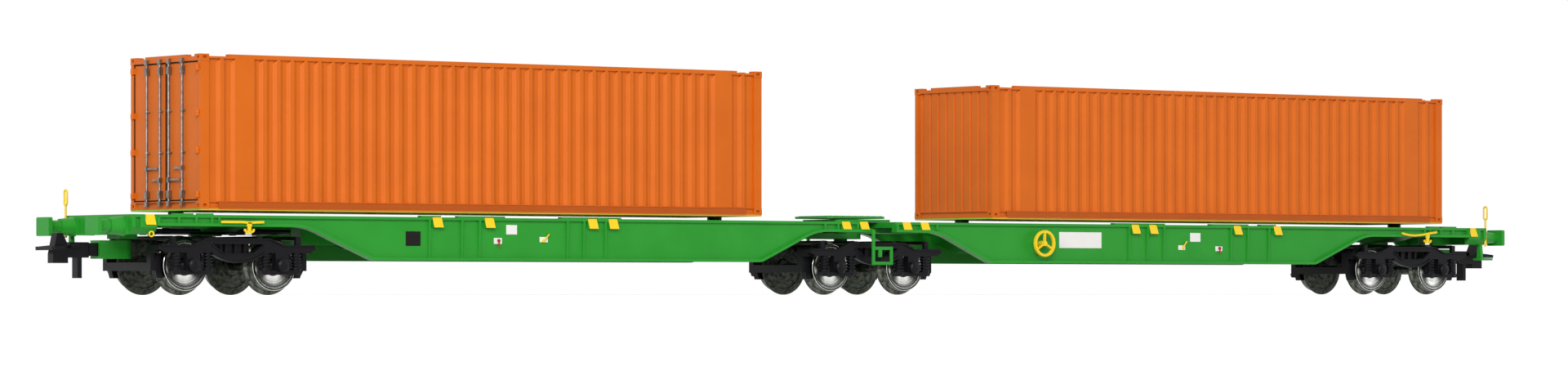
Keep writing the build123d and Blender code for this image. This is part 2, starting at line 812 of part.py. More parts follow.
def bogie_side(px):
    """Side frame on the near side."""
    view = Plane(origin=(px, -side_inner_y, 0), x_dir=(1, 0, 0), z_dir=(0, -1, 0))
    with BuildPart() as made:
        with BuildSketch(view):
            with BuildLine():
                Polyline(
                    (chord_half_x, side_low_z),
                    (side_half_x - end_slant, side_low_z),
                    (side_half_x, side_end_z),
                    (side_half_x, side_top_z),
                    (crown_half_x + crown_slope, side_top_z),
                    (crown_half_x, side_crown_z),
                    (-crown_half_x, side_crown_z),
                    (-crown_half_x - crown_slope, side_top_z),
                    (-side_half_x, side_top_z),
                    (-side_half_x, side_end_z),
                    (-side_half_x + end_slant, side_low_z),
                    (-chord_half_x, side_low_z),
                )
                ThreePointArc((-chord_half_x, side_low_z), (0, belly_z), (chord_half_x, side_low_z))
            make_face()
            with BuildSketch(mode=Mode.PRIVATE) as window:
                with BuildLine():
                    Polyline(
                        (-window_half_x, window_top_z),
                        (window_half_x, window_top_z),
                        (window_half_x - window_foot, window_low_z),
                        (-window_half_x + window_foot, window_low_z),
                        close=True,
                    )
                make_face()
                chamfer(window.vertices(), window_cut)
            add(window.sketch, mode=Mode.SUBTRACT)
        extrude(amount=side_thick)
        for x in window_bars_x:
            block(px + x - window_bar / 2, px + x + window_bar / 2, -side_inner_y - window_bar_depth,
                  -side_inner_y, window_low_z, window_top_z)
        for sx in (-1, 1):
            x = px + sx * wheelbase_half
            block(x - axlebox_half, x + axlebox_half, -side_outer_y, -side_inner_y, seat_z, side_low_z)
            with BuildSketch(Plane(origin=(x, -side_inner_y, 0), x_dir=(1, 0, 0), z_dir=(0, -1, 0))):
                with BuildLine():
                    Polyline(
                        (-seat_half - seat_thick / 2, seat_z + seat_thick),
                        (-seat_half, seat_z),
                        (seat_half, seat_z),
                        (seat_half + seat_thick / 2, seat_z + seat_thick),
                        close=True,
                    )
                make_face()
            extrude(amount=side_thick)
            with BuildSketch(Plane.XY.offset(seat_z + seat_thick)):
                with Locations((x - spring_offset, -side_middle_y), (x + spring_offset, -side_middle_y)):
                    RegularPolygon(spring_core_r, spring_flats)
            extrude(amount=side_low_z - seat_z - seat_thick)
            with BuildSketch(Plane.XZ.offset(side_outer_y)):
                with Locations((x, axle_z)):
                    Circle(axlebox_cover_r)
            extrude(amount=axlebox_cover)
            with BuildSketch(Plane.XZ.offset(side_inner_y)):
                with Locations((x, axle_z)):
                    Circle(journal_r + running_fit)
            extrude(amount=journal_length + play, mode=Mode.SUBTRACT)
    return made.part


# Cross frame: bolster with its bearing, shoe hangers, brake beams and curved brake shoes
bearing_r = 3.4
cross_half_x = 3.4
cross_low_z = 7.4
cross_top_z = 10.6
hanger = 1.0
shoe_gap = 0.3
shoe_thick = 1.3
shoe_width = 1.6
shoe_y = 8.9
shoe_low_z = 3.4
shoe_top_z = 8.5
brake_beam_low_z = 4.9
brake_beam_top_z = 6.6


def bogie_cross(px):
    with BuildPart() as made:
        block(px - cross_half_x, px + cross_half_x, -side_inner_y, side_inner_y, cross_low_z, cross_top_z)
        post(px, 0, cross_low_z, bogie_top_z, bearing_r)
        post(px, 0, cross_low_z, bogie_top_z, king_pin_r + running_fit, mode=Mode.SUBTRACT)
        for sx in (-1, 1):
            axle_x = px + sx * wheelbase_half
            end_x = px + sx * side_half_x
            block(end_x - sx * hanger, end_x, -shoe_y, shoe_y, brake_beam_low_z, brake_beam_top_z)
            for sy in (-1, 1):
                y = sy * shoe_y
                block(end_x - sx * hanger, end_x, y - sy * shoe_width / 2, sy * side_inner_y,
                      side_low_z, side_top_z)
                block(end_x - sx * hanger, end_x, y - shoe_width / 2, y + shoe_width / 2,
                      brake_beam_low_z, side_low_z)
                with BuildSketch(Plane.XZ.offset(-y - shoe_width / 2)):
                    with Locations((axle_x, axle_z)):
                        Circle(tread_r + shoe_gap + shoe_thick)
                        Circle(tread_r + shoe_gap, mode=Mode.SUBTRACT)
                    with Locations((axle_x + sx * tread_r, (shoe_low_z + shoe_top_z) / 2)):
                        Rectangle(2 * (shoe_gap + shoe_thick), shoe_top_z - shoe_low_z, mode=Mode.INTERSECT)
                extrude(amount=shoe_width)
                block(axle_x + sx * (tread_r + shoe_gap + shoe_thick / 2), end_x, y - shoe_width / 2,
                      y + shoe_width / 2, brake_beam_low_z, brake_beam_top_z)
    return made.part


# Wheelsets: axle and both wheels, turned as one
def wheelset(x):
    outer_y = wheel_inner_y + wheel_width
    journal_end_y = side_inner_y + journal_length
    with BuildPart() as made:
        with BuildSketch(Plane(origin=(x, 0, axle_z), x_dir=(0, 1, 0), z_dir=(1, 0, 0))):
            with BuildLine():
                Polyline(
                    (0, 0),
                    (0, axle_r),
                    (wheel_inner_y, axle_r),
                    (wheel_inner_y, tread_r + flange_depth),
                    (wheel_inner_y + flange_width / 2, tread_r + flange_depth),
                    (wheel_inner_y + flange_width, tread_r),
                    (outer_y, tread_r),
                    (outer_y, tread_r - wheel_rim),
                    (outer_y - web_recess, tread_r - wheel_rim - rim_slope),
                    (outer_y - web_recess, wheel_hub_r),
                    (outer_y, wheel_hub_r),
                    (outer_y, journal_r),
                    (journal_end_y, journal_r),
                    (journal_end_y, 0),
                    close=True,
                )
            make_face()
        revolve(axis=Axis((x, 0, axle_z), (0, 1, 0)))
        mirror(about=Plane.XZ)
    return made.part


number = 1
for name, px in bogies:
    near_side = bogie_side(px)
    write(near_side, f"bogie_{name}_side_near")
    write(near_side.mirror(Plane.XZ), f"bogie_{name}_side_far")
    write(bogie_cross(px), f"bogie_{name}_cross_frame")
    for sx in (-1, 1):
        write(wheelset(px + sx * wheelbase_half), f"wheelset_{number}")
        number = number + 1


# Boxes: folded side sheets, framed ends, roof and floor
fold_slope = 0.78
fold_width = 1.6
notch_side = 4.6
notch_depth = 0.45
notch_end = 3.4
notch_end_inset = 2.4
# A crest's top corners are cut off below the rail
crest_arch_x = 0.95
crest_arch_z = 0.75
# Crests beside a corner post: start and end, from the post
first_crests = [(2.2, 3.8), (5.6, 10.9)]
regular_start = 12.2


def side_crests(length):
    """Start and end of every crest along a side sheet, from one post to the other."""
    span = length - 2 * regular_start
    count = round((span / fold_width + 1) / 2)
    width = span / (2 * count - 1)
    regular = [(regular_start + 2 * k * width, regular_start + (2 * k + 1) * width) for k in range(count)]
    mirrored = [(length - end, length - start) for start, end in reversed(first_crests)]
    return first_crests + regular + mirrored


def folded(start, crests, low, high, sign):
    """Points of a folded sheet's outer line, running from start in the direction of sign."""
    half = fold_slope / 2
    points = []
    for c0, c1 in crests:
        points += [(start + sign * (c0 - half), low), (start + sign * (c0 + half), high),
                   (start + sign * (c1 - half), high), (start + sign * (c1 + half), low)]
    return points


def arch_corners(start, crests, high_z):
    """Cut both top corners of every crest away, down to the hollows beside it."""
    with BuildSketch(Plane.XZ.offset(box_width / 2 - fold_depth)) as corners:
        for c0, c1 in crests:
            for edge, sign in ((c0 - fold_slope / 2, 1), (c1 + fold_slope / 2, -1)):
                x = start + edge
                with BuildLine():
                    Polyline(
                        (x, high_z),
                        (x, high_z - crest_arch_z),
                        (x + sign * crest_arch_x, high_z),
                        close=True,
                    )
                make_face()
    extrude(corners.sketch, amount=fold_depth, mode=Mode.SUBTRACT)


def box_side(cx, height):
    """One long wall on the near side: bottom rail, folded sheet and notched top rail."""
    half = box_length / 2 - post_x
    face_y = box_width / 2
    inner_y = face_y - box_wall
    top = box_floor_z + height
    crests = side_crests(2 * half)
    with BuildPart() as made:
        with BuildSketch(Plane.XY.offset(wall_low_z + bottom_rail)):
            with BuildLine():
                Polyline(
                    (cx - half, -inner_y),
                    (cx - half, -face_y + fold_depth),
                    *folded(cx - half, crests, -face_y + fold_depth, -face_y, 1),
                    (cx + half, -face_y + fold_depth),
                    (cx + half, -inner_y),
                    close=True,
                )
            make_face()
        extrude(amount=top - top_rail - wall_low_z - bottom_rail)
        arch_corners(cx - half, crests, top - top_rail)
        with BuildSketch(Plane.YZ.offset(cx - half)):
            with BuildLine():
                Polyline(*rail_section(inner_y, face_y), close=True)
            make_face()
        extrude(amount=2 * half)
        block(cx - half, cx + half, -face_y, -inner_y, top - top_rail, top)
        for x in (cx - half, cx + half - notch_side):
            block(x, x + notch_side, -face_y, -inner_y, top - notch_depth, top, mode=Mode.SUBTRACT)
    return made.part


def rail_section(inner, outer):
    """Section of a bottom rail on the near side: a recessed web between flange and lip."""
    low = wall_low_z
    return [
        (-inner, low),
        (-outer, low),
        (-outer, low + rail_lip),
        (-outer + rail_recess, low + rail_lip),
        (-outer + rail_recess, low + bottom_rail - rail_lip),
        (-outer, low + bottom_rail - rail_lip),
        (-outer, low + bottom_rail),
        (-inner, low + bottom_rail),
    ]


groove_pitch = 2.9
groove_count = 9
groove_width = 0.85


def castings(x1, side, top):
    """Four corner castings of one end, each with its three slots."""
    face_y = box_width / 2
    for sy in (-1, 1):
        for z0 in (wall_low_z, top - casting_z):
            z1 = z0 + casting_z
            block(x1 - side * casting_x, x1 + side * casting_proud, sy * (face_y - casting_y),
                  sy * (face_y + casting_proud), z0, z1)


def casting_slots(x1, side, top):
    """Slots in the side and end faces of the corner castings."""
    face_y = box_width / 2
    near, far = (1 - slot_share) / 2, (1 + slot_share) / 2
    for sy in (-1, 1):
        for z0 in (wall_low_z, top - casting_z):
            z = z0 + casting_z / 2
            block(x1 - side * casting_x * far, x1 - side * casting_x * near, sy * (face_y - slot_depth),
                  sy * (face_y + casting_proud), z - slot_half_z, z + slot_half_z, mode=Mode.SUBTRACT)
            block(x1 - side * slot_depth, x1 + side * casting_proud, sy * (face_y - casting_y * far),
                  sy * (face_y - casting_y * near), z - slot_half_z, z + slot_half_z, mode=Mode.SUBTRACT)


def end_frame(x1, side, top, foot, header):
    """Posts, foot rail, header and castings round the panel of one end, with notches in the header."""
    face_y = box_width / 2
    for sy in (-1, 1):
        block(x1 - side * post_x, x1, sy * (face_y - post_y), sy * face_y, wall_low_z, top)
    block(x1 - side * box_wall, x1, -face_y, face_y, top - header, top)
    block(x1 - side * box_wall, x1 - side * rail_recess, -face_y, face_y, wall_low_z, wall_low_z + foot)
    for z in (wall_low_z, wall_low_z + foot - rail_lip):
        block(x1 - side * rail_recess, x1, -face_y, face_y, z, z + rail_lip)
    for sy in (-1, 1):
        block(x1 - side * box_wall, x1, sy * (face_y - notch_end_inset),
              sy * (face_y - notch_end_inset - notch_end), top - notch_depth, top, mode=Mode.SUBTRACT)
    castings(x1, side, top)
    casting_slots(x1, side, top)


def front_end(cx, height, side):
    """The closed end: nine upright grooves in its panel."""
    x1 = cx + side * box_length / 2
    top = box_floor_z + height
    panel_y = box_width / 2 - post_y
    outer, inner = x1 - side * (post_x - box_wall) / 2, x1 - side * box_wall
    half = groove_width / 2
    with BuildPart() as made:
        with BuildSketch(Plane.XY.offset(wall_low_z + bottom_rail)):
            line = [(inner, -panel_y), (outer, -panel_y)]
            for k in range(groove_count):
                y = (k - (groove_count - 1) / 2) * groove_pitch
                line += [(outer, y - half), (outer - side * fold_depth, y - half / 2),
                         (outer - side * fold_depth, y + half / 2), (outer, y + half)]
            with BuildLine():
                Polyline(*line, (outer, panel_y), (inner, panel_y), close=True)
            make_face()
        extrude(amount=top - front_header - wall_low_z - bottom_rail)
        end_frame(x1, side, top, bottom_rail, front_header)
    return made.part


# Doors: two leaves with a seam, hinges on the posts, and four locking bars with their handles
leaf_gap = 0.15
leaf_inset = 0.25
seam_depth = 0.3
hinge_heights = [0.045, 0.36, 0.625, 0.95]
hinge_x = 0.3
hinge_y = 0.9
hinge_z = 1.2
lock_bar_r = 0.25
keeper_x = 0.6
keeper_half_y = 0.5
keeper_half_z = 0.5
keeper_inset = 1.15
bracket_half_y = 0.5
bracket_half_z = 0.75
bracket_inset = 3.0
hub_half_y = 0.35
hub_half_z = 0.5
handle_half_x = 0.12
handle_half_z = 0.22
catch_length = 0.5
# Locking bars: bar Y, and the handle's height above the floor and end Y
lock_bars = [
    (-7.1, 8.65, -3.7),
    (-1.8, 6.3, -6.3),
    (1.8, 6.3, 5.0),
    (7.1, 8.65, 2.6),
]


def door_end(cx, height, side):
    """The frame with both door leaves in it, and the hinges."""
    x1 = cx + side * box_length / 2
    top = box_floor_z + height
    leaf_y = box_width / 2 - post_y
    leaf_low = wall_low_z + door_sill
    leaf_high = top - door_header
    face_x = x1 - side * leaf_inset
    with BuildPart() as made:
        end_frame(x1, side, top, door_sill, door_header)
        block(x1 - side * box_wall, face_x, -leaf_y, leaf_y, leaf_low, leaf_high)
        seam_x = face_x - side * seam_depth
        for y0, y1, z0, z1 in (
            (-leaf_y, -leaf_y + leaf_gap, leaf_low, leaf_high),
            (leaf_y - leaf_gap, leaf_y, leaf_low, leaf_high),
            (-leaf_gap / 2, leaf_gap / 2, leaf_low, leaf_high),
            (-leaf_y, leaf_y, leaf_low, leaf_low + leaf_gap),
            (-leaf_y, leaf_y, leaf_high - leaf_gap, leaf_high),
        ):
            block(seam_x, face_x, y0, y1, z0, z1, mode=Mode.SUBTRACT)
        for share in hinge_heights:
            z = leaf_low + share * (leaf_high - leaf_low)
            for sy in (-1, 1):
                block(x1 - side * leaf_inset * 2, x1 + side * hinge_x, sy * (leaf_y - hinge_y / 2),
                      sy * (leaf_y + hinge_y / 2), z - hinge_z / 2, z + hinge_z / 2)
    return made.part


def lock_gear(cx, height, side):
    """Locking bars between keepers on the frame, each with a handle in its catch on the leaf."""
    x1 = cx + side * box_length / 2
    top = box_floor_z + height
    face_x = x1 - side * leaf_inset
    bar_x = x1 + side * lock_bar_r
    keepers_z = [wall_low_z + keeper_inset, top - keeper_inset]
    with BuildPart() as made:
        for y, rise, end_y in lock_bars:
            post(bar_x, y, *keepers_z, lock_bar_r)
            for z in keepers_z:
                block(x1, x1 + side * keeper_x, y - keeper_half_y, y + keeper_half_y,
                      z - keeper_half_z, z + keeper_half_z)
            for z in (wall_low_z + bracket_inset, top - bracket_inset):
                block(face_x, x1 + side * keeper_x, y - bracket_half_y, y + bracket_half_y,
                      z - bracket_half_z, z + bracket_half_z)
            z = box_floor_z + rise
            catch_y = end_y - (catch_length if end_y > y else -catch_length)
            block(x1, x1 + side * keeper_x, y - hub_half_y, y + hub_half_y, z - hub_half_z, z + hub_half_z)
            block(bar_x - side * handle_half_x, bar_x + side * handle_half_x, y, end_y,
                  z - handle_half_z, z + handle_half_z)
            block(face_x, bar_x + side * handle_half_x, catch_y, end_y,
                  z - handle_half_z, z + handle_half_z)
    return made.part


# Roof, and a base plate under the walls with a floor panel on it
roof_thick = 0.8
roof_rib = 0.2
roof_inset = 0.5
floor_thick = 1.0


def panel(cx, low_z, high_z):
    """A flat panel between the four walls of a box."""
    half = box_length / 2 - box_wall
    inner = box_width / 2 - box_wall
    corner_x = half - (casting_x - box_wall)
    corner_y = inner - (casting_y - box_wall)
    block(cx - half, cx + half, -corner_y, corner_y, low_z, high_z)
    block(cx - corner_x, cx + corner_x, -inner, inner, low_z, high_z)


for name, cx, height, door_side in boxes:
    plate_half = box_length / 2 - box_wall
    inner_y = box_width / 2 - box_wall
    top = box_floor_z + height
    with BuildPart() as sides:
        near_side = box_side(cx, height)
        add(near_side)
        add(near_side.mirror(Plane.XZ))
    write(sides.part, f"{name}_box_sides")
    write(door_end(cx, height, door_side), f"{name}_box_door_end")
    write(lock_gear(cx, height, door_side), f"{name}_box_lock_bars")
    write(front_end(cx, height, -door_side), f"{name}_box_front_end")
    with BuildPart() as roof:
        panel(cx, top - roof_inset - roof_rib - roof_thick, top - roof_inset - roof_rib)
        rib_count = round(plate_half / fold_width / 2)
        rib_pitch = 2 * plate_half / rib_count
        with Locations((cx, 0, top - roof_inset - roof_rib / 2)):
            with GridLocations(rib_pitch, 1, rib_count, 1):
                Box(rib_pitch / 2, 2 * (inner_y - box_wall), roof_rib)
    write(roof.part, f"{name}_box_roof")
    with BuildPart() as floor:
        block(cx - box_length / 2, cx + box_length / 2, -box_width / 2, box_width / 2, box_floor_z, wall_low_z)
        panel(cx, wall_low_z, box_floor_z + floor_thick)
        for x in peg_places:
            peg_place = x if name == "a" else -x
            post(peg_place, 0, box_floor_z, box_floor_z + floor_thick, peg_pin_r + peg_play, mode=Mode.SUBTRACT)
    write(floor.part, f"{name}_box_floor")
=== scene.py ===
# %% [markdown]
# A model container wagon, dressed for its portrait.
# The CAD frame brings every rigid piece at its real size, 1:87. This lesson gives each of
# them a finish, adds what is too fine for CAD, and sets the floor, lamps and camera.
# Loading comes first.

# %% Load the frame
import json
import math

import bpy
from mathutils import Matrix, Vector


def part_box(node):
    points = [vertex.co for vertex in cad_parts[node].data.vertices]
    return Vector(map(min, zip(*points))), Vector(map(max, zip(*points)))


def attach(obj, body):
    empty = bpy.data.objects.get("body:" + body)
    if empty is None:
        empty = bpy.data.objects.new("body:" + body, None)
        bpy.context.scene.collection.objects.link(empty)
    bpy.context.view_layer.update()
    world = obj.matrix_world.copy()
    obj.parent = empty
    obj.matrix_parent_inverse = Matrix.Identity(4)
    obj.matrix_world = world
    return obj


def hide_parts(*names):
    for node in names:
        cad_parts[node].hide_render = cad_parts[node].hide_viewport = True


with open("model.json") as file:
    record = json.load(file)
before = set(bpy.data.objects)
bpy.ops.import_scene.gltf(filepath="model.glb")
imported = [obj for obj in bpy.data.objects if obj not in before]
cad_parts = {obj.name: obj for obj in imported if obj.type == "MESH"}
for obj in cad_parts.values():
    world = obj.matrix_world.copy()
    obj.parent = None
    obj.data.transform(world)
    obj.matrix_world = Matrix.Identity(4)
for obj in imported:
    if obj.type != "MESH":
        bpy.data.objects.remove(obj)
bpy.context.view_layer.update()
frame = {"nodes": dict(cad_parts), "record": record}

MM = 0.001
print("pieces in the frame:", len(frame["nodes"]))

# %% [markdown]
# Camera. A perspective view is fixed by where the eye stands, where it looks and how wide
# it sees. The eye here stands 1.1 m away at rail height and looks level, 37 degrees off
# square to the wagon. The horizon lies low in the picture, so the film is shifted up
# instead of tilting the camera: uprights then stay upright, as with a technical camera.

# %% Camera
eye_mm = (-684.6, -890.2, 0.8)
azimuth = math.radians(36.92)
photo_width = 1920
focal_px = 6163.4
horizon_px = 356.3
middle_px = 232.5

camera_data = bpy.data.cameras.new("portrait")
camera_data.sensor_width = 36
camera_data.lens = focal_px / photo_width * camera_data.sensor_width
camera_data.shift_y = (horizon_px - middle_px) / photo_width
camera_data.clip_start = 0.01
camera = bpy.data.objects.new("portrait", camera_data)
bpy.context.collection.objects.link(camera)
camera.location = Vector(eye_mm) * MM
camera.rotation_euler = (math.pi / 2, 0, -azimuth)
bpy.context.scene.camera = camera
print("lens in mm:", round(camera_data.lens, 2), "shift:", round(camera_data.shift_y, 4))

# %% [markdown]
# Two small helpers serve every material. Paint charts give colours as sRGB hex values,
# while shaders add light in linear values, so one function turns the first into the
# second. The other adds a node, sets it and wires it in one line, which keeps each
# material as short as its recipe.

# %% Colour and node helpers
# A Mix node has sockets for numbers too: these are its two colours and its mixed colour.
COLOUR_A, COLOUR_B, MIXED = 6, 7, 2


def linear(code):
    """An sRGB hex value such as "3A9B35" as a linear colour."""
    shares = [int(code[i:i + 2], 16) / 255 for i in (0, 2, 4)]
    return [s / 12.92 if s <= 0.04045 else ((s + 0.055) / 1.055) ** 2.4 for s in shares] + [1.0]


def node(tree, kind, fields=None, values=None, links=None):
    """Add one node: fields are its own settings, values set sockets and links feed them."""
    made = tree.nodes.new(kind)
    for name, value in (fields or {}).items():
        setattr(made, name, value)
    for name, value in (values or {}).items():
        made.inputs[name].default_value = value
    for name, source in (links or {}).items():
        tree.links.new(source, made.inputs[name])
    return made


def blank(name):
    """A new material with only its output, and the node tree to fill."""
    material = bpy.data.materials.new(name)
    material.use_nodes = True
    tree = material.node_tree
    tree.nodes.clear()
    return material, tree, node(tree, "ShaderNodeOutputMaterial")


print("orange in linear light:", [round(c, 3) for c in linear("DB6E28")])

# %% [markdown]
# Floor and air. The wagon stands on a pale plain floor under soft light. A floor seen
# almost edge-on turns grey, because little light comes back along it, so the camera is
# shown a white where no shadow falls: only camera and mirror rays see that glow, and the
# object gets no light from it. The glow rises with distance, as the floor's own light
# fades. The card has a faint fibre in it, so that it isn't one flat tone.

# %% Floor
near_glow, far_glow = 0.5, 0.75
near_m, far_m = 0.4, 2.0
fibre_mm = 2.5
card_dark, card_light = 0.86, 0.9


def pale_floor():
    """Matt white card, with a glow that only camera and glossy rays see."""
    material, tree, out = blank("matt_white_card")
    path = node(tree, "ShaderNodeLightPath")
    seen = node(tree, "ShaderNodeMath", {"operation": "MAXIMUM"},
                links={0: path.outputs["Is Camera Ray"], 1: path.outputs["Is Glossy Ray"]})
    texture = node(tree, "ShaderNodeTexCoord")
    fibre = node(tree, "ShaderNodeTexNoise", values={"Scale": 1 / (fibre_mm * MM), "Detail": 3.0},
                 links={"Vector": texture.outputs["Object"]})
    tone = node(tree, "ShaderNodeMapRange", values={"To Min": card_dark, "To Max": card_light},
                links={"Value": fibre.outputs["Fac"]})
    card = node(tree, "ShaderNodeBsdfDiffuse", links={"Color": tone.outputs["Result"]})
    away = node(tree, "ShaderNodeVectorMath", {"operation": "LENGTH"},
                links={0: texture.outputs["Object"]})
    lift = node(tree, "ShaderNodeMapRange",
                values={"From Min": near_m, "From Max": far_m, "To Min": near_glow, "To Max": far_glow},
                links={"Value": away.outputs["Value"]})
    glow = node(tree, "ShaderNodeEmission", links={"Strength": lift.outputs["Result"]})
    both = node(tree, "ShaderNodeAddShader", links={0: card.outputs[0], 1: glow.outputs[0]})
    shown = node(tree, "ShaderNodeMixShader",
                 links={0: seen.outputs[0], 1: card.outputs[0], 2: both.outputs[0]})
    tree.links.new(shown.outputs[0], out.inputs["Surface"])
    return material


floor_half = 6.0
floor_mesh = bpy.data.meshes.new("floor")
floor_mesh.from_pydata([(-floor_half, -floor_half, 0), (floor_half, -floor_half, 0),
                        (floor_half, floor_half, 0), (-floor_half, floor_half, 0)], [], [(0, 1, 2, 3)])
floor = bpy.data.objects.new("floor", floor_mesh)
bpy.context.collection.objects.link(floor)
floor_mesh.materials.append(pale_floor())
print("floor in metres:", 2 * floor_half)

# %% [markdown]
# Room light. A white room gives every side some light, but far less than the lamps do. Its
# own white is kept for what the camera and the mirror rays see, so the backdrop is white
# and metal shows a bright room, while the object gets only the weak light.

# %% World
ambient, seen_white = 0.36, 1.0
world = bpy.data.worlds.new("soft_room")
world.use_nodes = True
sky = world.node_tree
sky.nodes.clear()
path = node(sky, "ShaderNodeLightPath")
mirror = node(sky, "ShaderNodeMath", {"operation": "MAXIMUM"},
              links={0: path.outputs["Is Glossy Ray"], 1: path.outputs["Is Transmission Ray"]})
direct = node(sky, "ShaderNodeMath", {"operation": "MAXIMUM"},
              links={0: path.outputs["Is Camera Ray"], 1: mirror.outputs[0]})
strength = node(sky, "ShaderNodeMapRange", values={"To Min": ambient, "To Max": seen_white},
                links={"Value": direct.outputs[0]})
air = node(sky, "ShaderNodeBackground", values={"Color": (1, 1, 1, 1)},
           links={"Strength": strength.outputs["Result"]})
node(sky, "ShaderNodeOutputWorld", links={"Surface": air.outputs[0]})
bpy.context.scene.world = world
bpy.context.scene.view_settings.view_transform = "Standard"
print("room light:", ambient)

# %% [markdown]
# Lamps. The picture has hardly any hard shadow: large soft boxes stand round the wagon.
# One is above and in front, one at the left faces the doors, and a weak one at the right
# keeps the far end open. Their power is set so that a painted colour renders about as its
# hex value says.

# %% Lamps
def soft_box(name, place, aim, size, power):
    """A square area lamp of a given size in metres, pointed at a spot."""
    data = bpy.data.lights.new(name, "AREA")
    data.shape = "SQUARE"
    data.size = size
    data.energy = power
    lamp = bpy.data.objects.new(name, data)
    bpy.context.collection.objects.link(lamp)
    lamp.location = place
    lamp.rotation_euler = (Vector(aim) - Vector(place)).to_track_quat("-Z", "Y").to_euler()
    return lamp


wagon_middle = (0, 0, 0.02)
far_half = (0.1, 0, 0.02)
# Name, place and aim in metres, side in metres, power in watts
boxes = [
    ("front_box", (-1.1, -1.5, 0.9), wagon_middle, 0.9, 25),
    ("door_box", (-2.0, -0.9, 0.6), wagon_middle, 0.8, 11),
    ("end_box", (1.5, -0.9, 0.6), far_half, 0.8, 2.5),
]
for row in boxes:
    soft_box(*row)

# %% [markdown]
# Moulded and lacquered plastic. The boxes and frames are injection-moulded styrene with a
# thin coat of satin lacquer. To the eye that is an even colour with a soft highlight, very
# faint clouds where the coat is thicker, and edges that are never quite sharp. The surface
# comes first: a gloss that follows the clouds, a fine skin in the bump, and a bevel in the
# normal that rounds the edges by less than a tenth of a millimetre.

# %% Satin coat
styrene_ior = 1.5
# A thin matting coat halves the mirror part of plain styrene, which keeps the colours deep.
matted_specular = 0.25
skin_depth_mm, skin_strength = 0.02, 0.12
edge_samples = 4


def satin_coat(tree, out, colour, clouds, skin, roughness, swing, edge_mm):
    """Finish a lacquer: gloss that varies with the clouds, a fine skin and softened edges."""
    edge = node(tree, "ShaderNodeBevel", {"samples": edge_samples}, values={"Radius": edge_mm * MM})
    bump = node(tree, "ShaderNodeBump", values={"Strength": skin_strength, "Distance": skin_depth_mm * MM},
                links={"Height": skin.outputs["Fac"], "Normal": edge.outputs[0]})
    gloss = node(tree, "ShaderNodeMapRange",
                 values={"To Min": roughness - swing, "To Max": roughness + swing},
                 links={"Value": clouds.outputs["Fac"]})
    shader = node(tree, "ShaderNodeBsdfPrincipled",
                  values={"IOR": styrene_ior, "Specular IOR Level": matted_specular},
                  links={"Base Color": colour.outputs[MIXED], "Roughness": gloss.outputs["Result"],
                         "Normal": bump.outputs[0]})
    tree.links.new(shader.outputs[0], out.inputs["Surface"])


print("satin coat over an index of", styrene_ior)

# %% [markdown]
# Lacquer colours. Under that surface lies the colour: two hex values a shade apart, which a
# slow noise mixes to faint clouds. A large wall gets wide clouds and a small lever narrow
# ones, because a coat pools in proportion to the piece it runs over.

# %% Satin lacquer on styrene
# The coat's real skin is about 0.05 mm wide, and is drawn at 0.3 mm so that it shows.
skin_mm = 0.3
gloss_swing = 0.05


def lacquer(name, light, dark, roughness, cloud_mm, edge_mm):
    """Satin lacquer: light and dark are hex values, cloud_mm is the width of a cloud."""
    material, tree, out = blank(name)
    place = node(tree, "ShaderNodeTexCoord")
    clouds = node(tree, "ShaderNodeTexNoise", values={"Scale": 1 / (cloud_mm * MM), "Detail": 4.0},
                  links={"Vector": place.outputs["Object"]})
    colour = node(tree, "ShaderNodeMix", {"data_type": "RGBA"},
                  values={COLOUR_A: linear(light), COLOUR_B: linear(dark)},
                  links={0: clouds.outputs["Fac"]})
    skin = node(tree, "ShaderNodeTexNoise", values={"Scale": 1 / (skin_mm * MM), "Detail": 2.0},
                links={"Vector": place.outputs["Object"]})
    satin_coat(tree, out, colour, clouds, skin, roughness, gloss_swing, edge_mm)
    return material


box_orange = lacquer("orange_lacquered_styrene", "DB6C0E", "C95E08", 0.42, 9.0, 0.08)
# The rail web's darker orange is painted shade for the recess of the channel, not a paint of its own.
rail_painted_shade = lacquer("orange_painted_shade_lacquer", "B9560F", "A94C0A", 0.5, 6.0, 0.05)
frame_green = lacquer("green_lacquered_styrene", "2A9C2E", "1F8C23", 0.36, 7.0, 0.08)
guide_yellow = lacquer("yellow_lacquered_styrene", "FADB2E", "F2C81C", 0.4, 3.0, 0.05)
sign_white = lacquer("white_printed_film", "F4F4F1", "E9E9E6", 0.4, 2.0, 0.03)
lever_red = lacquer("red_lacquered_wire", "B02A1E", "98201A", 0.4, 1.0, 0.03)
print("lacquers:", [m.name for m in (box_orange, rail_painted_shade, frame_green)])
print("small ones:", [m.name for m in (guide_yellow, sign_white, lever_red)])

# %% [markdown]
# Pad printing. The container guides are moulded in green, and a soft pad prints them
# yellow only where it presses, so the faces that look along the wagon stay green. The
# boxes' floors are ochre in the same way, and greener at their ends. The recipe reads which
# way a face looks in the piece's own space, and picks the ink or the plastic by it.

# %% Pad printed styrene
ink_cloud_mm, ink_edge_mm, ink_swing = 3.0, 0.05, 0.06
# The share of a face's direction along the axis at which the ink begins and ends to fade
bare_from, bare_to = 0.55, 0.65


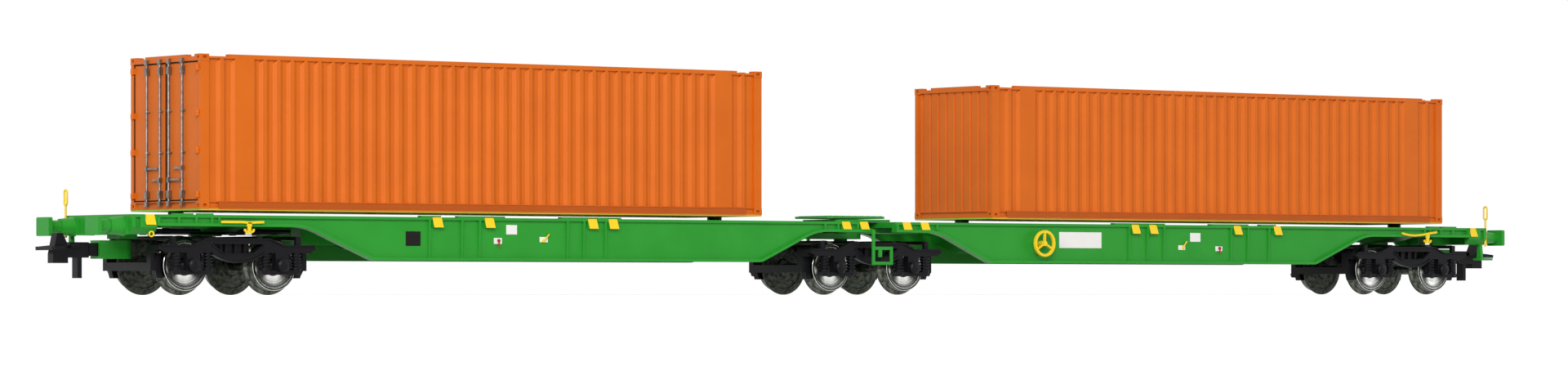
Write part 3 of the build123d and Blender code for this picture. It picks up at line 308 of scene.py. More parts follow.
def pad_printed(name, ink, plastic, along, roughness):
    """Ink on every face but those that look along one axis, where the plastic shows."""
    material, tree, out = blank(name)
    place = node(tree, "ShaderNodeTexCoord")
    parts = node(tree, "ShaderNodeSeparateXYZ", links={0: place.outputs["Normal"]})
    size = node(tree, "ShaderNodeMath", {"operation": "ABSOLUTE"}, links={0: parts.outputs[along]})
    share = node(tree, "ShaderNodeMapRange", values={"From Min": bare_from, "From Max": bare_to},
                 links={"Value": size.outputs[0]})
    clouds = node(tree, "ShaderNodeTexNoise", values={"Scale": 1 / (ink_cloud_mm * MM), "Detail": 4.0},
                  links={"Vector": place.outputs["Object"]})
    colour = node(tree, "ShaderNodeMix", {"data_type": "RGBA"},
                  values={COLOUR_A: linear(ink), COLOUR_B: linear(plastic)},
                  links={0: share.outputs["Result"]})
    satin_coat(tree, out, colour, clouds, clouds, roughness, ink_swing, ink_edge_mm)
    return material


guide_printed = pad_printed("guide_printed_yellow", "F7D324", "2A9C2E", "X", 0.4)
base_ochre = pad_printed("ochre_styrene", "C9AC34", "97C23C", "X", 0.45)
print("printed:", guide_printed.name, base_ochre.name)

# %% [markdown]
# Black acetal. Bogies and couplings are moulded in a self-coloured, slightly waxy plastic
# that isn't painted. It is never quite black: a dark violet grey with a broad soft sheen
# and a spark-eroded grain from the mould. The real grain is finer than a tenth of a
# millimetre, and is drawn at 0.25 mm so that it shows. The same recipe, with a duller
# gloss, serves the rubber door seals and the black plate.

# %% Black acetal
acetal_ior, waxy_specular = 1.48, 0.15
grain_mm, grain_depth_mm, grain_strength = 0.25, 0.03, 0.35
flow_mm = 4.0
acetal_edge_mm = 0.1


def acetal(name, light, dark, roughness):
    """Self-coloured acetal with the grain of a spark-eroded mould."""
    material, tree, out = blank(name)
    place = node(tree, "ShaderNodeTexCoord")
    grain = node(tree, "ShaderNodeTexNoise", values={"Scale": 1 / (grain_mm * MM), "Detail": 5.0},
                 links={"Vector": place.outputs["Object"]})
    flow = node(tree, "ShaderNodeTexNoise", values={"Scale": 1 / (flow_mm * MM), "Detail": 2.0},
                links={"Vector": place.outputs["Object"]})
    colour = node(tree, "ShaderNodeMix", {"data_type": "RGBA"},
                  values={COLOUR_A: linear(light), COLOUR_B: linear(dark)},
                  links={0: flow.outputs["Fac"]})
    edge = node(tree, "ShaderNodeBevel", {"samples": edge_samples},
                values={"Radius": acetal_edge_mm * MM})
    bump = node(tree, "ShaderNodeBump",
                values={"Strength": grain_strength, "Distance": grain_depth_mm * MM},
                links={"Height": grain.outputs["Fac"], "Normal": edge.outputs[0]})
    shader = node(tree, "ShaderNodeBsdfPrincipled",
                  values={"IOR": acetal_ior, "Specular IOR Level": waxy_specular, "Roughness": roughness},
                  links={"Base Color": colour.outputs[MIXED], "Normal": bump.outputs[0]})
    tree.links.new(shader.outputs[0], out.inputs["Surface"])
    return material


bogie_black = acetal("black_acetal", "131217", "0A090D", 0.36)
seal_rubber = acetal("seal_rubber", "1E1A18", "121010", 0.7)
code_black = acetal("black_plate", "1C1E1A", "10110F", 0.5)
print("moulded black:", bogie_black.name, seal_rubber.name, code_black.name)

# %% [markdown]
# Turned metal. The wheels are turned: the dish is nickelled and bright, the tread is worn
# to a darker grey, and the rim and the back are blackened. The locking bars are plated
# with zinc. A lathe leaves fine rings round the axle that stretch the highlight. Real ones
# are a few hundredths of a millimetre apart, and are drawn at 0.25 mm so that they show.
# The rings come from noise along the distance to the axle, and on the bars the same
# noise passes for marks of drawing.

# %% Plated and blackened metal
ring_mm, ring_depth_mm, ring_strength = 0.25, 0.02, 0.3
mottle_mm = 0.9
mottle_from, mottle_to = 0.35, 0.65


def plated(name, light, dark, roughness, wear):
    """A mottled tone, lathe rings about the piece's own Y axis, and wear in the gloss."""
    material, tree, out = blank(name)
    place = node(tree, "ShaderNodeTexCoord")
    mottle = node(tree, "ShaderNodeTexNoise", values={"Scale": 1 / (mottle_mm * MM), "Detail": 6.0},
                  links={"Vector": place.outputs["Object"]})
    spread = node(tree, "ShaderNodeMapRange", values={"From Min": mottle_from, "From Max": mottle_to},
                  links={"Value": mottle.outputs["Fac"]})
    colour = node(tree, "ShaderNodeMix", {"data_type": "RGBA"},
                  values={COLOUR_A: linear(light), COLOUR_B: linear(dark)},
                  links={0: spread.outputs["Result"]})
    # Without its Y the place gives the distance from the axle.
    flat = node(tree, "ShaderNodeVectorMath", {"operation": "MULTIPLY"}, values={1: (1, 0, 1)},
                links={0: place.outputs["Object"]})
    distance = node(tree, "ShaderNodeVectorMath", {"operation": "LENGTH"},
                    links={0: flat.outputs["Vector"]})
    rings = node(tree, "ShaderNodeTexNoise", {"noise_dimensions": "1D"},
                 values={"Scale": 1 / (ring_mm * MM), "Detail": 2.0},
                 links={"W": distance.outputs["Value"]})
    bump = node(tree, "ShaderNodeBump", values={"Strength": ring_strength, "Distance": ring_depth_mm * MM},
                links={"Height": rings.outputs["Fac"]})
    gloss = node(tree, "ShaderNodeMapRange",
                 values={"To Min": roughness - wear, "To Max": roughness + wear},
                 links={"Value": mottle.outputs["Fac"]})
    shader = node(tree, "ShaderNodeBsdfPrincipled", values={"Metallic": 1.0},
                  links={"Base Color": colour.outputs[MIXED], "Roughness": gloss.outputs["Result"],
                         "Normal": bump.outputs[0]})
    tree.links.new(shader.outputs[0], out.inputs["Surface"])
    return material


dish_metal = plated("nickelled_dish", "E8E9E6", "DADCD7", 0.2, 0.02)
tread_metal = plated("worn_nickel_tread", "6F736B", "34372F", 0.26, 0.1)
rim_metal = plated("blackened_steel", "5B6057", "2C3029", 0.4, 0.1)
lock_metal = plated("zinc_plated_bar", "988F88", "746C66", 0.42, 0.08)
print("metals:", dish_metal.name, tread_metal.name, rim_metal.name, lock_metal.name)

# %% [markdown]
# Every CAD piece now gets its finish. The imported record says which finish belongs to
# which piece, so a short table from its slot names to the materials above dresses all of
# them in one loop. Only the printed guides are named on their own.

# %% Dress the CAD pieces
finish_of_slot = {
    "green": frame_green,
    "orange": box_orange,
    "black": bogie_black,
    "yellow": guide_yellow,
    "wheel": tread_metal,
    "lock_metal": lock_metal,
    "floor": base_ochre,
}
finish_of_node = {"a_guide_wedges": guide_printed, "b_guide_wedges": guide_printed}
slot_of_node = {part["node"]: part["material_slot"] for part in frame["record"]["subparts"]}
for name, solid in frame["nodes"].items():
    finish = finish_of_node.get(name, finish_of_slot[slot_of_node[name]])
    if not solid.material_slots:
        solid.data.materials.append(finish)
    for slot in solid.material_slots:
        slot.material = finish
print("dressed:", len(slot_of_node), "pieces")

# %% [markdown]
# Shapes for the fine pieces. Small parts of a model are turned, bent or punched, so a few
# helpers answer for all of them. The first spins a profile round an axle, as a lathe does.
# Each returns plain points and faces in millimetres, with a number for each face's
# finish, so that pieces can be joined before Blender sees them.

# %% Turned shapes
def turned(profile, place, axis, steps, bands=None):
    """Spin (along, radius) points about an axis through a place; bands number the finishes."""
    points, faces, picks = [], [], []
    for along, radius in profile:
        for k in range(steps):
            turn = 2 * math.pi * k / steps
            one, two = radius * math.cos(turn), radius * math.sin(turn)
            spot = {"X": (along, one, two), "Y": (two, along, one), "Z": (one, two, along)}[axis]
            points.append([a + b for a, b in zip(place, spot)])
    for row in range(len(profile) - 1):
        for k in range(steps):
            a, b = row * steps + k, row * steps + (k + 1) % steps
            faces.append((a, b, b + steps, a + steps))
            picks.append(bands[row] if bands else 0)
    return points, faces, picks


test_ring = turned([(0, 1), (1, 1)], (0, 0, 0), "X", steps=12)
print("a test ring has", len(test_ring[1]), "faces")

# %% [markdown]
# Bent wire. Grips, coils and eyes are drawn wire, so a round section is carried along a
# path and closed at both ends. Each ring keeps the last one's direction as nearly as it
# can, so that the wire never twists in a bend.

# %% Swept wire
def swept(path, radius, sides=8):
    """A round wire along a path, closed at both ends."""
    spots = [Vector(p) for p in path]
    points, faces = [], []
    across = (spots[1] - spots[0]).orthogonal().normalized()
    for i, spot in enumerate(spots):
        ahead = (spots[min(i + 1, len(spots) - 1)] - spots[max(i - 1, 0)]).normalized()
        across = (across - ahead * across.dot(ahead)).normalized()
        over = across.cross(ahead)
        for k in range(sides):
            turn = 2 * math.pi * k / sides
            points.append(spot + radius * (math.cos(turn) * across + math.sin(turn) * over))
    for i in range(len(spots) - 1):
        for k in range(sides):
            a, b = i * sides + k, i * sides + (k + 1) % sides
            faces.append((a, b, b + sides, a + sides))
    faces.append(tuple(reversed(range(sides))))
    faces.append(tuple(range(len(points) - sides, len(points))))
    return points, faces, [0] * len(faces)


test_wire = swept([(0, 0, 0), (1, 0, 0), (1, 1, 0)], 0.1)
print("a test wire has", len(test_wire[0]), "points")

# %% [markdown]
# Pressed strip and blocks. A strip of even thickness follows a line in the side view and
# has a flat front and back, as a pressed or moulded flange has. A block is the plain
# start of a plate or a rib, and gets its soft edges from the bevel further down.

# %% Strips, blocks and joining
def band(line, thick, y0, y1):
    """A flat strip whose middle follows (x, z) points, between two Y planes."""
    points, faces = [], []
    for i, (x, z) in enumerate(line):
        before, after = line[max(i - 1, 0)], line[min(i + 1, len(line) - 1)]
        dx, dz = after[0] - before[0], after[1] - before[1]
        size = math.hypot(dx, dz)
        nx, nz = -dz / size * thick / 2, dx / size * thick / 2
        points += [(x - nx, y0, z - nz), (x + nx, y0, z + nz)]
        points += [(x + nx, y1, z + nz), (x - nx, y1, z - nz)]
    for i in range(len(line) - 1):
        a, b = 4 * i, 4 * i + 4
        faces += [(a + k, a + (k + 1) % 4, b + (k + 1) % 4, b + k) for k in range(4)]
    last = 4 * (len(line) - 1)
    faces += [(3, 2, 1, 0), (last, last + 1, last + 2, last + 3)]
    return points, faces, [0] * len(faces)


def brick(low, high):
    """A block between two corners, its edges left for a bevel."""
    (x0, y0, z0), (x1, y1, z1) = low, high
    points = [(x, y, z) for z in (z0, z1) for x, y in ((x0, y0), (x1, y0), (x1, y1), (x0, y1))]
    faces = [(3, 2, 1, 0), (4, 5, 6, 7), (0, 1, 5, 4), (1, 2, 6, 5), (2, 3, 7, 6), (3, 0, 4, 7)]
    return points, faces, [0] * 6


def joined(shapes):
    """Several shapes as one."""
    points, faces, picks = [], [], []
    for more_points, more_faces, more_picks in shapes:
        start = len(points)
        points += [tuple(p) for p in more_points]
        faces += [tuple(start + i for i in face) for face in more_faces]
        picks += more_picks
    return points, faces, picks


test_pair = joined([brick((0, 0, 0), (1, 1, 1)), band([(0, 0), (1, 0), (2, 1)], 0.1, 0, 1)])
print("a block and a strip have", len(test_pair[1]), "faces")

# %% [markdown]
# One more helper turns points and faces into a Blender object. It sets the piece's origin
# where asked, smooths faces that meet at a gentle angle, rounds the remaining edges with a
# small bevel if told to, and makes the piece ride on its body, so that it follows every
# joint of the wagon. Moulded and rolled edges are never sharp, and the bevel is what
# gives them their thin highlight.

# %% Piece maker
def piece(name, shape, finishes, body, origin=(0, 0, 0), smooth_deg=35, edge_mm=0.0):
    """A finished object from a shape in millimetres, riding on a body of the frame."""
    points, faces, picks = shape
    mesh = bpy.data.meshes.new(name)
    mesh.from_pydata([(Vector(p) - Vector(origin)) * MM for p in points], [], faces)
    for finish in finishes:
        mesh.materials.append(finish)
    for face, pick in zip(mesh.polygons, picks):
        face.material_index = pick
        face.use_smooth = True
    mesh.set_sharp_from_angle(angle=math.radians(smooth_deg))
    made = bpy.data.objects.new(name, mesh)
    bpy.context.collection.objects.link(made)
    made.location = Vector(origin) * MM
    if edge_mm:
        edge = made.modifiers.new("moulded edge", "BEVEL")
        edge.width = edge_mm * MM
        edge.segments = 2
        edge.limit_method = "ANGLE"
        made.modifiers.new("even shading", "WEIGHTED_NORMAL")
    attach(made, body)
    return made


# %% [markdown]
# Wheels. A model wheel is turned from metal: a rounded flange inside, a slightly coned
# tread, a flat rim face, and a shallow dish that falls towards the hub and catches the
# light as a crescent. The CAD wheel has the same outline, and the turned one that takes
# its place adds the rounded flange and the dish. The profile is written once, outwards
# from the middle of the axle, and mirrored for the other wheel.

# %% Wheel profile
TREAD, DISH, RIM = 0, 1, 2
# Distance from the middle of the axle, radius, and the finish of the band that follows
wheel_line = [
    (0.0, 1.0, RIM), (6.6, 1.0, RIM), (6.75, 1.9, RIM), (7.2, 2.1, RIM), (7.2, 4.45, RIM),
    (7.28, 4.55, RIM), (7.2, 4.65, RIM), (7.2, 5.8, RIM), (7.26, 5.93, RIM), (7.38, 6.0, RIM),
    (7.5, 5.98, RIM), (7.64, 5.84, TREAD), (7.78, 5.5, TREAD), (7.95, 5.26, TREAD), (8.15, 5.2, TREAD),
    (9.8, 5.16, TREAD), (9.95, 5.1, DISH), (10.0, 5.02, RIM), (10.0, 4.6, DISH), (9.97, 4.52, DISH),
    (9.87, 4.46, DISH), (9.72, 4.1, DISH), (9.58, 3.6, DISH), (9.5, 3.0, DISH), (9.46, 2.4, DISH),
    (9.5, 2.12, RIM), (9.7, 2.0, RIM), (9.9, 1.8, RIM),
    (9.9, 0.74, DISH), (12.3, 0.74, DISH), (12.39, 0.6, DISH), (12.39, 0.02, DISH),
]
outward = [(y, r) for y, r, _ in wheel_line]
inward = [(-y, r) for y, r in reversed(outward[1:])]
band_finish = [pick for _, _, pick in wheel_line[:-1]]
profile = inward + outward
finish_picks = list(reversed(band_finish)) + band_finish
print("profile points:", len(profile))

# %% [markdown]
# The wheelset is a plain spin of that profile. Its origin sits at the middle of the axle,
# so the finish can draw its lathe rings round the right centre.

# %% Wheelsets
wheelbase_half = 10.35
axle_z = 6.0
wheel_steps = 80
bogies = {"bogie_outer_a": -163.2, "bogie_middle": 0.0, "bogie_outer_b": 163.2}
axle_offsets = (-wheelbase_half, wheelbase_half)
axles = [x + offset for x in bogies.values() for offset in axle_offsets]
for number, x in enumerate(axles, start=1):
    hub = (x, 0, axle_z)
    wheels = piece(f"wheelset_{number}_turned", turned(profile, hub, "Y", wheel_steps, finish_picks),
                   [tread_metal, dish_metal, rim_metal], f"wheelset_{number}", origin=hub, smooth_deg=28)
    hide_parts(f"wheelset_{number}")
print("wheelsets:", len(axles))

# %% [markdown]
# Springs. On the real bogie a pair of coil springs stands beside every axle box, between
# the side frame and a seat that hangs under the box. The CAD side frame has their cores.
# The coils are a round wire bent to a helix, with flat end turns, and all eight of one
# bogie are joined to one piece.

# %% Coil springs
side_inner_y, side_outer_y = 11.6, 13.2
spring_y = (side_inner_y + side_outer_y) / 2
spring_offsets = (-3.6, 3.6)
spring_foot_z, spring_head_z = 5.02, 8.48
coil_r, wire_r, turns = 1.0, 0.17, 5.5
steps_per_turn, wire_sides = 14, 7
# The share of the wire at either end that lies flat
flat_end = 0.06


def coil(x, y):
    """A helix of round wire between the spring's seat and the side frame."""
    count = int(turns * steps_per_turn)
    low, high = spring_foot_z + wire_r, spring_head_z - wire_r
    path = []
    for i in range(count + 1):
        turn = 2 * math.pi * turns * i / count
        rise = min(max((i / count - flat_end) / (1 - 2 * flat_end), 0), 1)
        path.append((x + coil_r * math.cos(turn), y + coil_r * math.sin(turn), low + (high - low) * rise))
    return swept(path, wire_r, wire_sides)


for bogie, x in bogies.items():
    coils = [coil(x + axle + step, y) for axle in axle_offsets
             for step in spring_offsets for y in (-spring_y, spring_y)]
    springs = piece(f"{bogie}_springs", joined(coils), [bogie_black], bogie, smooth_deg=60)
print("coils on each bogie:", len(coils))

# %% [markdown]
# The axle box ends in a domed cover held by four bolts, and a spring cup closes the lower
# end of each coil. Domes and cups are turned shapes, bolts are six-sided studs.

# %% Axle box covers, bolts and spring cups
cover_proud = 0.58
# Profiles as distance along the axis and radius
cover_profile = [(0.0, 1.38), (0.1, 1.38), (0.15, 1.22), (0.3, 1.12), (0.42, 0.85), (0.48, 0.45),
                 (0.5, 0.02)]
cup_profile = [(-0.95, 0.02), (-0.95, 0.75), (-0.7, 1.05), (0.0, 1.16), (0.28, 1.16), (0.28, 0.8)]
bolt_profile = [(0.0, 0.2), (0.2, 0.2), (0.24, 0.02)]
bolt_offset, bolt_sunk = 1.12, 0.02
bolt_corners = [(dx * bolt_offset, dz * bolt_offset) for dx, dz in ((-1, 1), (1, 1), (-1, -1), (1, -1))]


def facing(profile, side):
    """A profile that starts on the side frame and points away from the wagon."""
    return [(side * along, radius) for along, radius in profile]


for bogie, x in bogies.items():
    shapes = []
    for axle in axle_offsets:
        for side in (-1, 1):
            cover_place = (x + axle, side * (side_outer_y + cover_proud), axle_z)
            shapes.append(turned(facing(cover_profile, side), cover_place, "Y", steps=32))
            for dx, dz in bolt_corners:
                bolt_place = (x + axle + dx, side * (side_outer_y - bolt_sunk), axle_z + dz)
                shapes.append(turned(facing(bolt_profile, side), bolt_place, "Y", steps=6))
            for step in spring_offsets:
                cup_place = (x + axle + step, side * spring_y, spring_foot_z)
                shapes.append(turned(cup_profile, cup_place, "Z", steps=24))
    covers = piece(f"{bogie}_axle_covers", joined(shapes), [bogie_black], bogie, smooth_deg=40)
print("covers:", 2 * len(axles))

# %% [markdown]
# Side frames are cast with a flange round their edge, because a thin web with a flange is
# stiff and light. The flanges are bands that follow the frame's outline: one over the top,
# one under the curved belly, and one round the window with its upright bars.

# %% Side frame flanges
crown = [(-17.9, 9.95), (-10.6, 9.95), (-7.45, 11.3), (7.45, 11.3), (10.6, 9.95), (17.9, 9.95)]
belly_half, belly_edge_z, belly_low_z, belly_steps = 6.1, 8.5, 6.65, 12
rise = belly_edge_z - belly_low_z
belly_circle = (belly_half ** 2 + rise ** 2) / (2 * rise)
belly = [(x, belly_low_z + belly_circle - math.sqrt(belly_circle ** 2 - x ** 2))
         for x in [belly_half * k / belly_steps for k in range(-belly_steps, belly_steps + 1)]]
window = [(-5.5, 10.4), (5.5, 10.4), (6.0, 9.95), (3.6, 8.45), (3.1, 8.3), (-3.1, 8.3), (-3.6, 8.45),
          (-6.0, 9.95), (-5.5, 10.4)]
# Each line with the flange's thickness and how far it stands proud
flange_rows = ((crown, 0.34, 0.32), (belly, 0.36, 0.32), (window, 0.26, 0.2))
flange_root = 0.4
# Unit B's step swings close past this side frame, so its flanges stay low.
low_flange = {("bogie_middle", 1): 0.08}
for bogie, x in bogies.items():
    shapes = []
    for side in (-1, 1):
        for line, thick, proud in flange_rows:
            placed = [(x + dx, z) for dx, z in line]
            face = side_outer_y + low_flange.get((bogie, side), proud)
            near, far = sorted((side * (side_outer_y - flange_root), side * face))
            shapes.append(band(placed, thick, near, far))
    flanges = piece(f"{bogie}_side_flanges", joined(shapes), [bogie_black], bogie, edge_mm=0.05)
print("flanged side frames:", 2 * len(bogies))

# %% [markdown]
# Cross tubes. Black tubes tie the two side frames over and between the wheels, and
# fill what would be a bright slit under the deck. Each is swept straight across and
# stands on a short foot on each side frame, well clear of the flanges and of the deck.

# %% Cross tubes
tube_r, tube_z, tube_overlap = 0.42, 11.5, 0.3
foot_half, foot_inner, foot_outer, foot_sunk, foot_top = 0.55, 0.1, 1.0, 0.05, 0.3
# Distance from the bogie's middle, and the height of the side frame's top there
tubes = [(-14.5, 10.0), (-5.4, 11.3), (5.4, 11.3), (14.5, 10.0)]
for bogie, x in bogies.items():
    shapes = []
    for dx, foot_z in tubes:
        end_y = side_inner_y + tube_overlap
        shapes.append(swept([(x + dx, -end_y, tube_z), (x + dx, end_y, tube_z)], tube_r, sides=12))
        for side in (-1, 1):
            near, far = sorted((side * (side_inner_y + foot_inner), side * (side_inner_y + foot_outer)))
            shapes.append(brick((x + dx - foot_half, near, foot_z - foot_sunk),
                                (x + dx + foot_half, far, tube_z + foot_top)))
    ties = piece(f"{bogie}_cross_tubes", joined(shapes), [bogie_black], bogie, smooth_deg=50, edge_mm=0.06)
print("cross tubes:", len(tubes) * len(bogies))

# %% [markdown]
# Door seals. The two door leaves close on black rubber, which shows as a thin line round
# each leaf and a double one in the middle. The strips lie in the gap that the CAD leaves
# between leaf and frame and stop a hair behind the post's face, as a pressed gasket does.

# %% Door gaskets
leaf_half_y, leaf_foot, leaf_head = 12.96, 1.95, 1.35
seal, seal_back, seal_set = 0.3, 0.5, 0.15
middle_seal_y, middle_seal_half = 0.16, 0.09
seal_inset = 0.02
box_ends = {"a": -1, "b": 1}
box_foot_z = 17.0
box_middle_x, box_half_x = 102.4, 70.05


def door_plane(unit):
    """X of the door end's face, and the lowest and highest Z of its leaves, in millimetres."""
    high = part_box(f"{unit}_box_door_end")[1]
    face = box_ends[unit] * (box_half_x + box_middle_x)
    return face, box_foot_z + leaf_foot, high.z / MM - leaf_head


edge_seal_y = leaf_half_y - seal / 2
upright_seals = [(-edge_seal_y, seal / 2), (-middle_seal_y, middle_seal_half),
                 (middle_seal_y, middle_seal_half), (edge_seal_y, seal / 2)]
for unit, side in box_ends.items():
    face, low_z, high_z = door_plane(unit)
    x0, x1 = sorted((face - side * seal_back, face - side * seal_set))
    strips = [brick((x0, y - half, low_z + seal_inset), (x1, y + half, high_z - seal_inset))
              for y, half in upright_seals]
    level_y = leaf_half_y - seal_inset
    strips += [brick((x0, -level_y, z - seal / 2), (x1, level_y, z + seal / 2))
               for z in (low_z + seal / 2, high_z - seal / 2)]
    gasket = piece(f"{unit}_box_door_gasket", joined(strips), [seal_rubber], f"box_{unit}", edge_mm=0.03)
print("gaskets on:", list(box_ends))

# %% [markdown]
# Hinges and bar clips. Each leaf hangs on four hinges, and the pin of a hinge shows as a
# rounded barrel at the corner post. Two small clips hold every locking bar to its leaf
# between the brackets. Barrels and clips are turned about an upright axis.

# %% Hinge barrels and bar clips
# Shares of the leaf's height
hinge_shares = (0.045, 0.36, 0.625, 0.95)
clip_shares = (0.35, 0.65)
bars_y = (-7.1, -1.8, 1.8, 7.1)
hinges_y = (-13.1, 13.1)
hinge_proud, bar_proud = 0.16, 0.25
pad_half_y, pad_half_z, pad_back, pad_front = 0.55, 0.2, 0.26, 0.05
barrel = [(-0.72, 0.02), (-0.72, 0.22), (-0.55, 0.4), (-0.06, 0.43), (0.0, 0.36), (0.06, 0.43),
          (0.55, 0.4), (0.72, 0.22), (0.72, 0.02)]
clip = [(-0.22, 0.26), (-0.22, 0.4), (0.22, 0.4), (0.22, 0.26)]
for unit, side in box_ends.items():
    face, low_z, high_z = door_plane(unit)
    leaf_height = high_z - low_z
    barrels = [turned(barrel, (face + side * hinge_proud, y, low_z + share * leaf_height), "Z", steps=20)
               for share in hinge_shares for y in hinges_y]
    x0, x1 = sorted((face - side * pad_back, face + side * pad_front))
    clips = []
    for z in [low_z + share * leaf_height for share in clip_shares]:
        for y in bars_y:
            clips.append(turned(clip, (face + side * bar_proud, y, z), "Z", steps=20))
            clips.append(brick((x0, y - pad_half_y, z - pad_half_z), (x1, y + pad_half_y, z + pad_half_z)))
    hinges = piece(f"{unit}_box_hinge_barrels", joined(barrels), [box_orange], f"box_{unit}")
    held = piece(f"{unit}_box_bar_clips", joined(clips), [lock_metal], f"box_{unit}", edge_mm=0.03)
print("hinges on each box:", len(barrels), "clips:", len(bars_y) * len(clip_shares))

# %% [markdown]
# Bottom rails. The foot of each long side is a steel channel, open outwards. Its web
# is set back between two lips and lies in shade, darker than the wall above. The CAD rail is a
# plain step, and these strips give it the lips, with a web between them in a darker orange
# that is painted shade.

# %% Bottom rail channels
rail_foot, rail_head, post_width = 0.4, 1.84, 2.2
rail_root, web_proud, lip_proud = 0.1, 0.03, 0.16
lip_under, lip_over, foot_lip_drop = 0.08, 0.1, 0.02
for unit in box_ends:
    low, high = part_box(f"{unit}_box_sides")
    x0, x1 = low.x / MM + post_width, high.x / MM - post_width
    lips, webs = [], []
    for face in (low.y / MM, high.y / MM):
        out = -1 if face < 0 else 1
        near, far = sorted((face - out * rail_root, face + out * web_proud))
        webs.append(brick((x0, near, box_foot_z + rail_foot), (x1, far, box_foot_z + rail_head)))
        near, far = sorted((face - out * rail_root, face + out * lip_proud))
        for z in (box_foot_z + rail_foot - foot_lip_drop, box_foot_z + rail_head):
            lips.append(brick((x0, near, z - lip_under), (x1, far, z + lip_over)))
    edges = piece(f"{unit}_box_rail_lips", joined(lips), [box_orange], f"box_{unit}", edge_mm=0.05)
    # The webs take the darker orange: painted shade.
    web = piece(f"{unit}_box_rail_painted_shade_webs", joined(webs), [rail_painted_shade], f"box_{unit}")
    print(unit, "rail from", round(x0, 1), "to", round(x1, 1), "face at", round(low.y / MM, 2))

# %% [markdown]
# Plates on the sills. A wagon carries load tables, brake plates and a large blank sign as
# flat films or thin plates on its side. They are kept blank here. Each is a row of a table:
# name, unit, first and last X, lowest and highest Z.

# %% Blank plates on the near sills
sill_web_y = 12.8
plate_thick, plate_sunk = 0.1, 0.05
WHITE, BLACK = 0, 1
plates = [
    ("load_plate_a", "a", -98.1, -95.4, 12.65, 14.65, WHITE),
    ("changeover_plate_a", "a", -101.2, -99.2, 10.66, 11.92, WHITE),
    ("valve_plate_a", "a", -89.65, -87.6, 11.07, 12.2, WHITE),
    ("code_plate_a", "a", -123.0, -119.4, 10.15, 13.15, BLACK),
    ("load_plate_b", "b", 92.55, 95.7, 12.25, 14.3, WHITE),
    ("changeover_plate_b", "b", 100.4, 102.5, 10.12, 11.24, WHITE),
    ("valve_plate_b", "b", 88.9, 91.0, 10.35, 11.42, WHITE),
    ("owner_sign_b", "b", 52.9, 65.5, 10.6, 14.25, WHITE),
]
for name, unit, x0, x1, z0, z1, pick in plates:
    film = brick((x0, -sill_web_y - plate_thick, z0), (x1, -sill_web_y + plate_sunk, z1))
    made = piece(name, film, [(sign_white, code_black)[pick]], f"unit_{unit}", edge_mm=0.05)
print("plates:", len(plates))

# %% [markdown]
# Small levers. Beside the plates sit the brake changeover lever, painted red, and the
# valve lever, yellow. Each is a round rod with a turned boss at its pivot.

# %% Changeover and valve levers
# Name, unit, pivot and tip as X and Z, and finish
levers = [
    ("changeover_lever_a", "a", (-100.1, 11.35), (-100.08, 9.95), lever_red),
    ("valve_lever_a", "a", (-88.85, 11.35), (-87.45, 12.75), guide_yellow),
    ("changeover_lever_b", "b", (101.54, 10.8), (101.54, 9.5), lever_red),
    ("valve_lever_b", "b", (90.2, 10.95), (91.25, 12.35), guide_yellow),
]
rod_r, rod_lean, rod_proud, boss_sunk = 0.15, 0.05, 0.2, 0.02
rod_y = sill_web_y + plate_thick + rod_proud
boss_y = sill_web_y + plate_thick - boss_sunk
boss = [(0.0, 0.34), (0.3, 0.34), (0.36, 0.2), (0.37, 0.02)]
for name, unit, (x, z), (tip_x, tip_z), finish in levers:
    rod = swept([(x, -rod_y, z), (tip_x, -rod_y - rod_lean, tip_z)], rod_r, sides=10)
    hub = turned(facing(boss, -1), (x, -boss_y, z), "Y", steps=20)
    made = piece(name, joined([rod, hub]), [finish], f"unit_{unit}")
print("levers:", len(levers))

# %% [markdown]
# Brake changeover bars. A long yellow bar outside each sill, over the outer bogie, sets
# the brake by load. It is pressed from strip: the bar dips where it meets its stem or
# beside it, and the stem ends in a small anchor with two hooks over a bright pin. The CAD
# has the plain outline, and these strips with rolled edges take its place. Unit B's are
# unit A's turned half round.

# %% Brake changeover bars
bogie_x = bogies["bogie_outer_b"]
sill_outer_y, bar_gap, bar_deep, bar_thick = 13.8, 0.08, 0.52, 0.52
# Side of the sill, height, the stem's X from the bogie's middle, and the bar's line about that height
bars = [
    (-1, 14.7, 2.0, [(-4.5, 0.0), (0.4, 0.0), (2.0, -0.12), (3.4, -0.04), (5.4, 0.04)]),
    (1, 14.5, -4.3, [(4.1, 0.15), (3.5, 0.0), (2.0, -0.25), (0.1, -0.35), (-2.5, -0.15), (-7.3, 0.5)]),
]
anchor = [(-0.96, -1.36), (-1.02, -1.66), (-0.82, -1.9), (-0.4, -2.02), (0.4, -2.02), (0.82, -1.9),
          (1.02, -1.66), (0.96, -1.36)]
anchor_thick = 0.42
# Upper and lower end of each part of the stem below the bar, and its width
stem_parts = ((0.0, -0.9, 1.1), (-0.8, -2.0, 0.78))
pin = [(-1.0, 0.02), (-1.0, 0.24), (-0.3, 0.24), (-0.25, 0.16), (-0.18, 0.24), (0.45, 0.2), (0.45, 0.02)]
pin_drop = 2.36
for unit, turn in (("a", 1), ("b", -1)):
    strips, pins = [], []
    for side, z, stem, line in bars:
        out = turn * side
        near, far = sorted((out * (sill_outer_y + bar_gap), out * (sill_outer_y + bar_gap + bar_deep)))
        x = turn * (-bogie_x + stem)
        strips.append(band([(turn * (-bogie_x + dx), z + dz) for dx, dz in line], bar_thick, near, far))
        for top, foot, wide in stem_parts:
            strips.append(band([(x, z + top), (x, z + foot)], wide, near, far))
        strips.append(band([(x + dx, z + dz) for dx, dz in anchor], anchor_thick, near, far))
        pins.append(turned(pin, (x, (near + far) / 2, z - pin_drop), "X", steps=16))
    pressed = piece(f"{unit}_brake_bars", joined(strips), [guide_yellow], f"unit_{unit}", edge_mm=0.1)
    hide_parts(f"{unit}_brake_levers")
    bright = piece(f"{unit}_brake_bar_pins", joined(pins), [dish_metal], f"unit_{unit}")
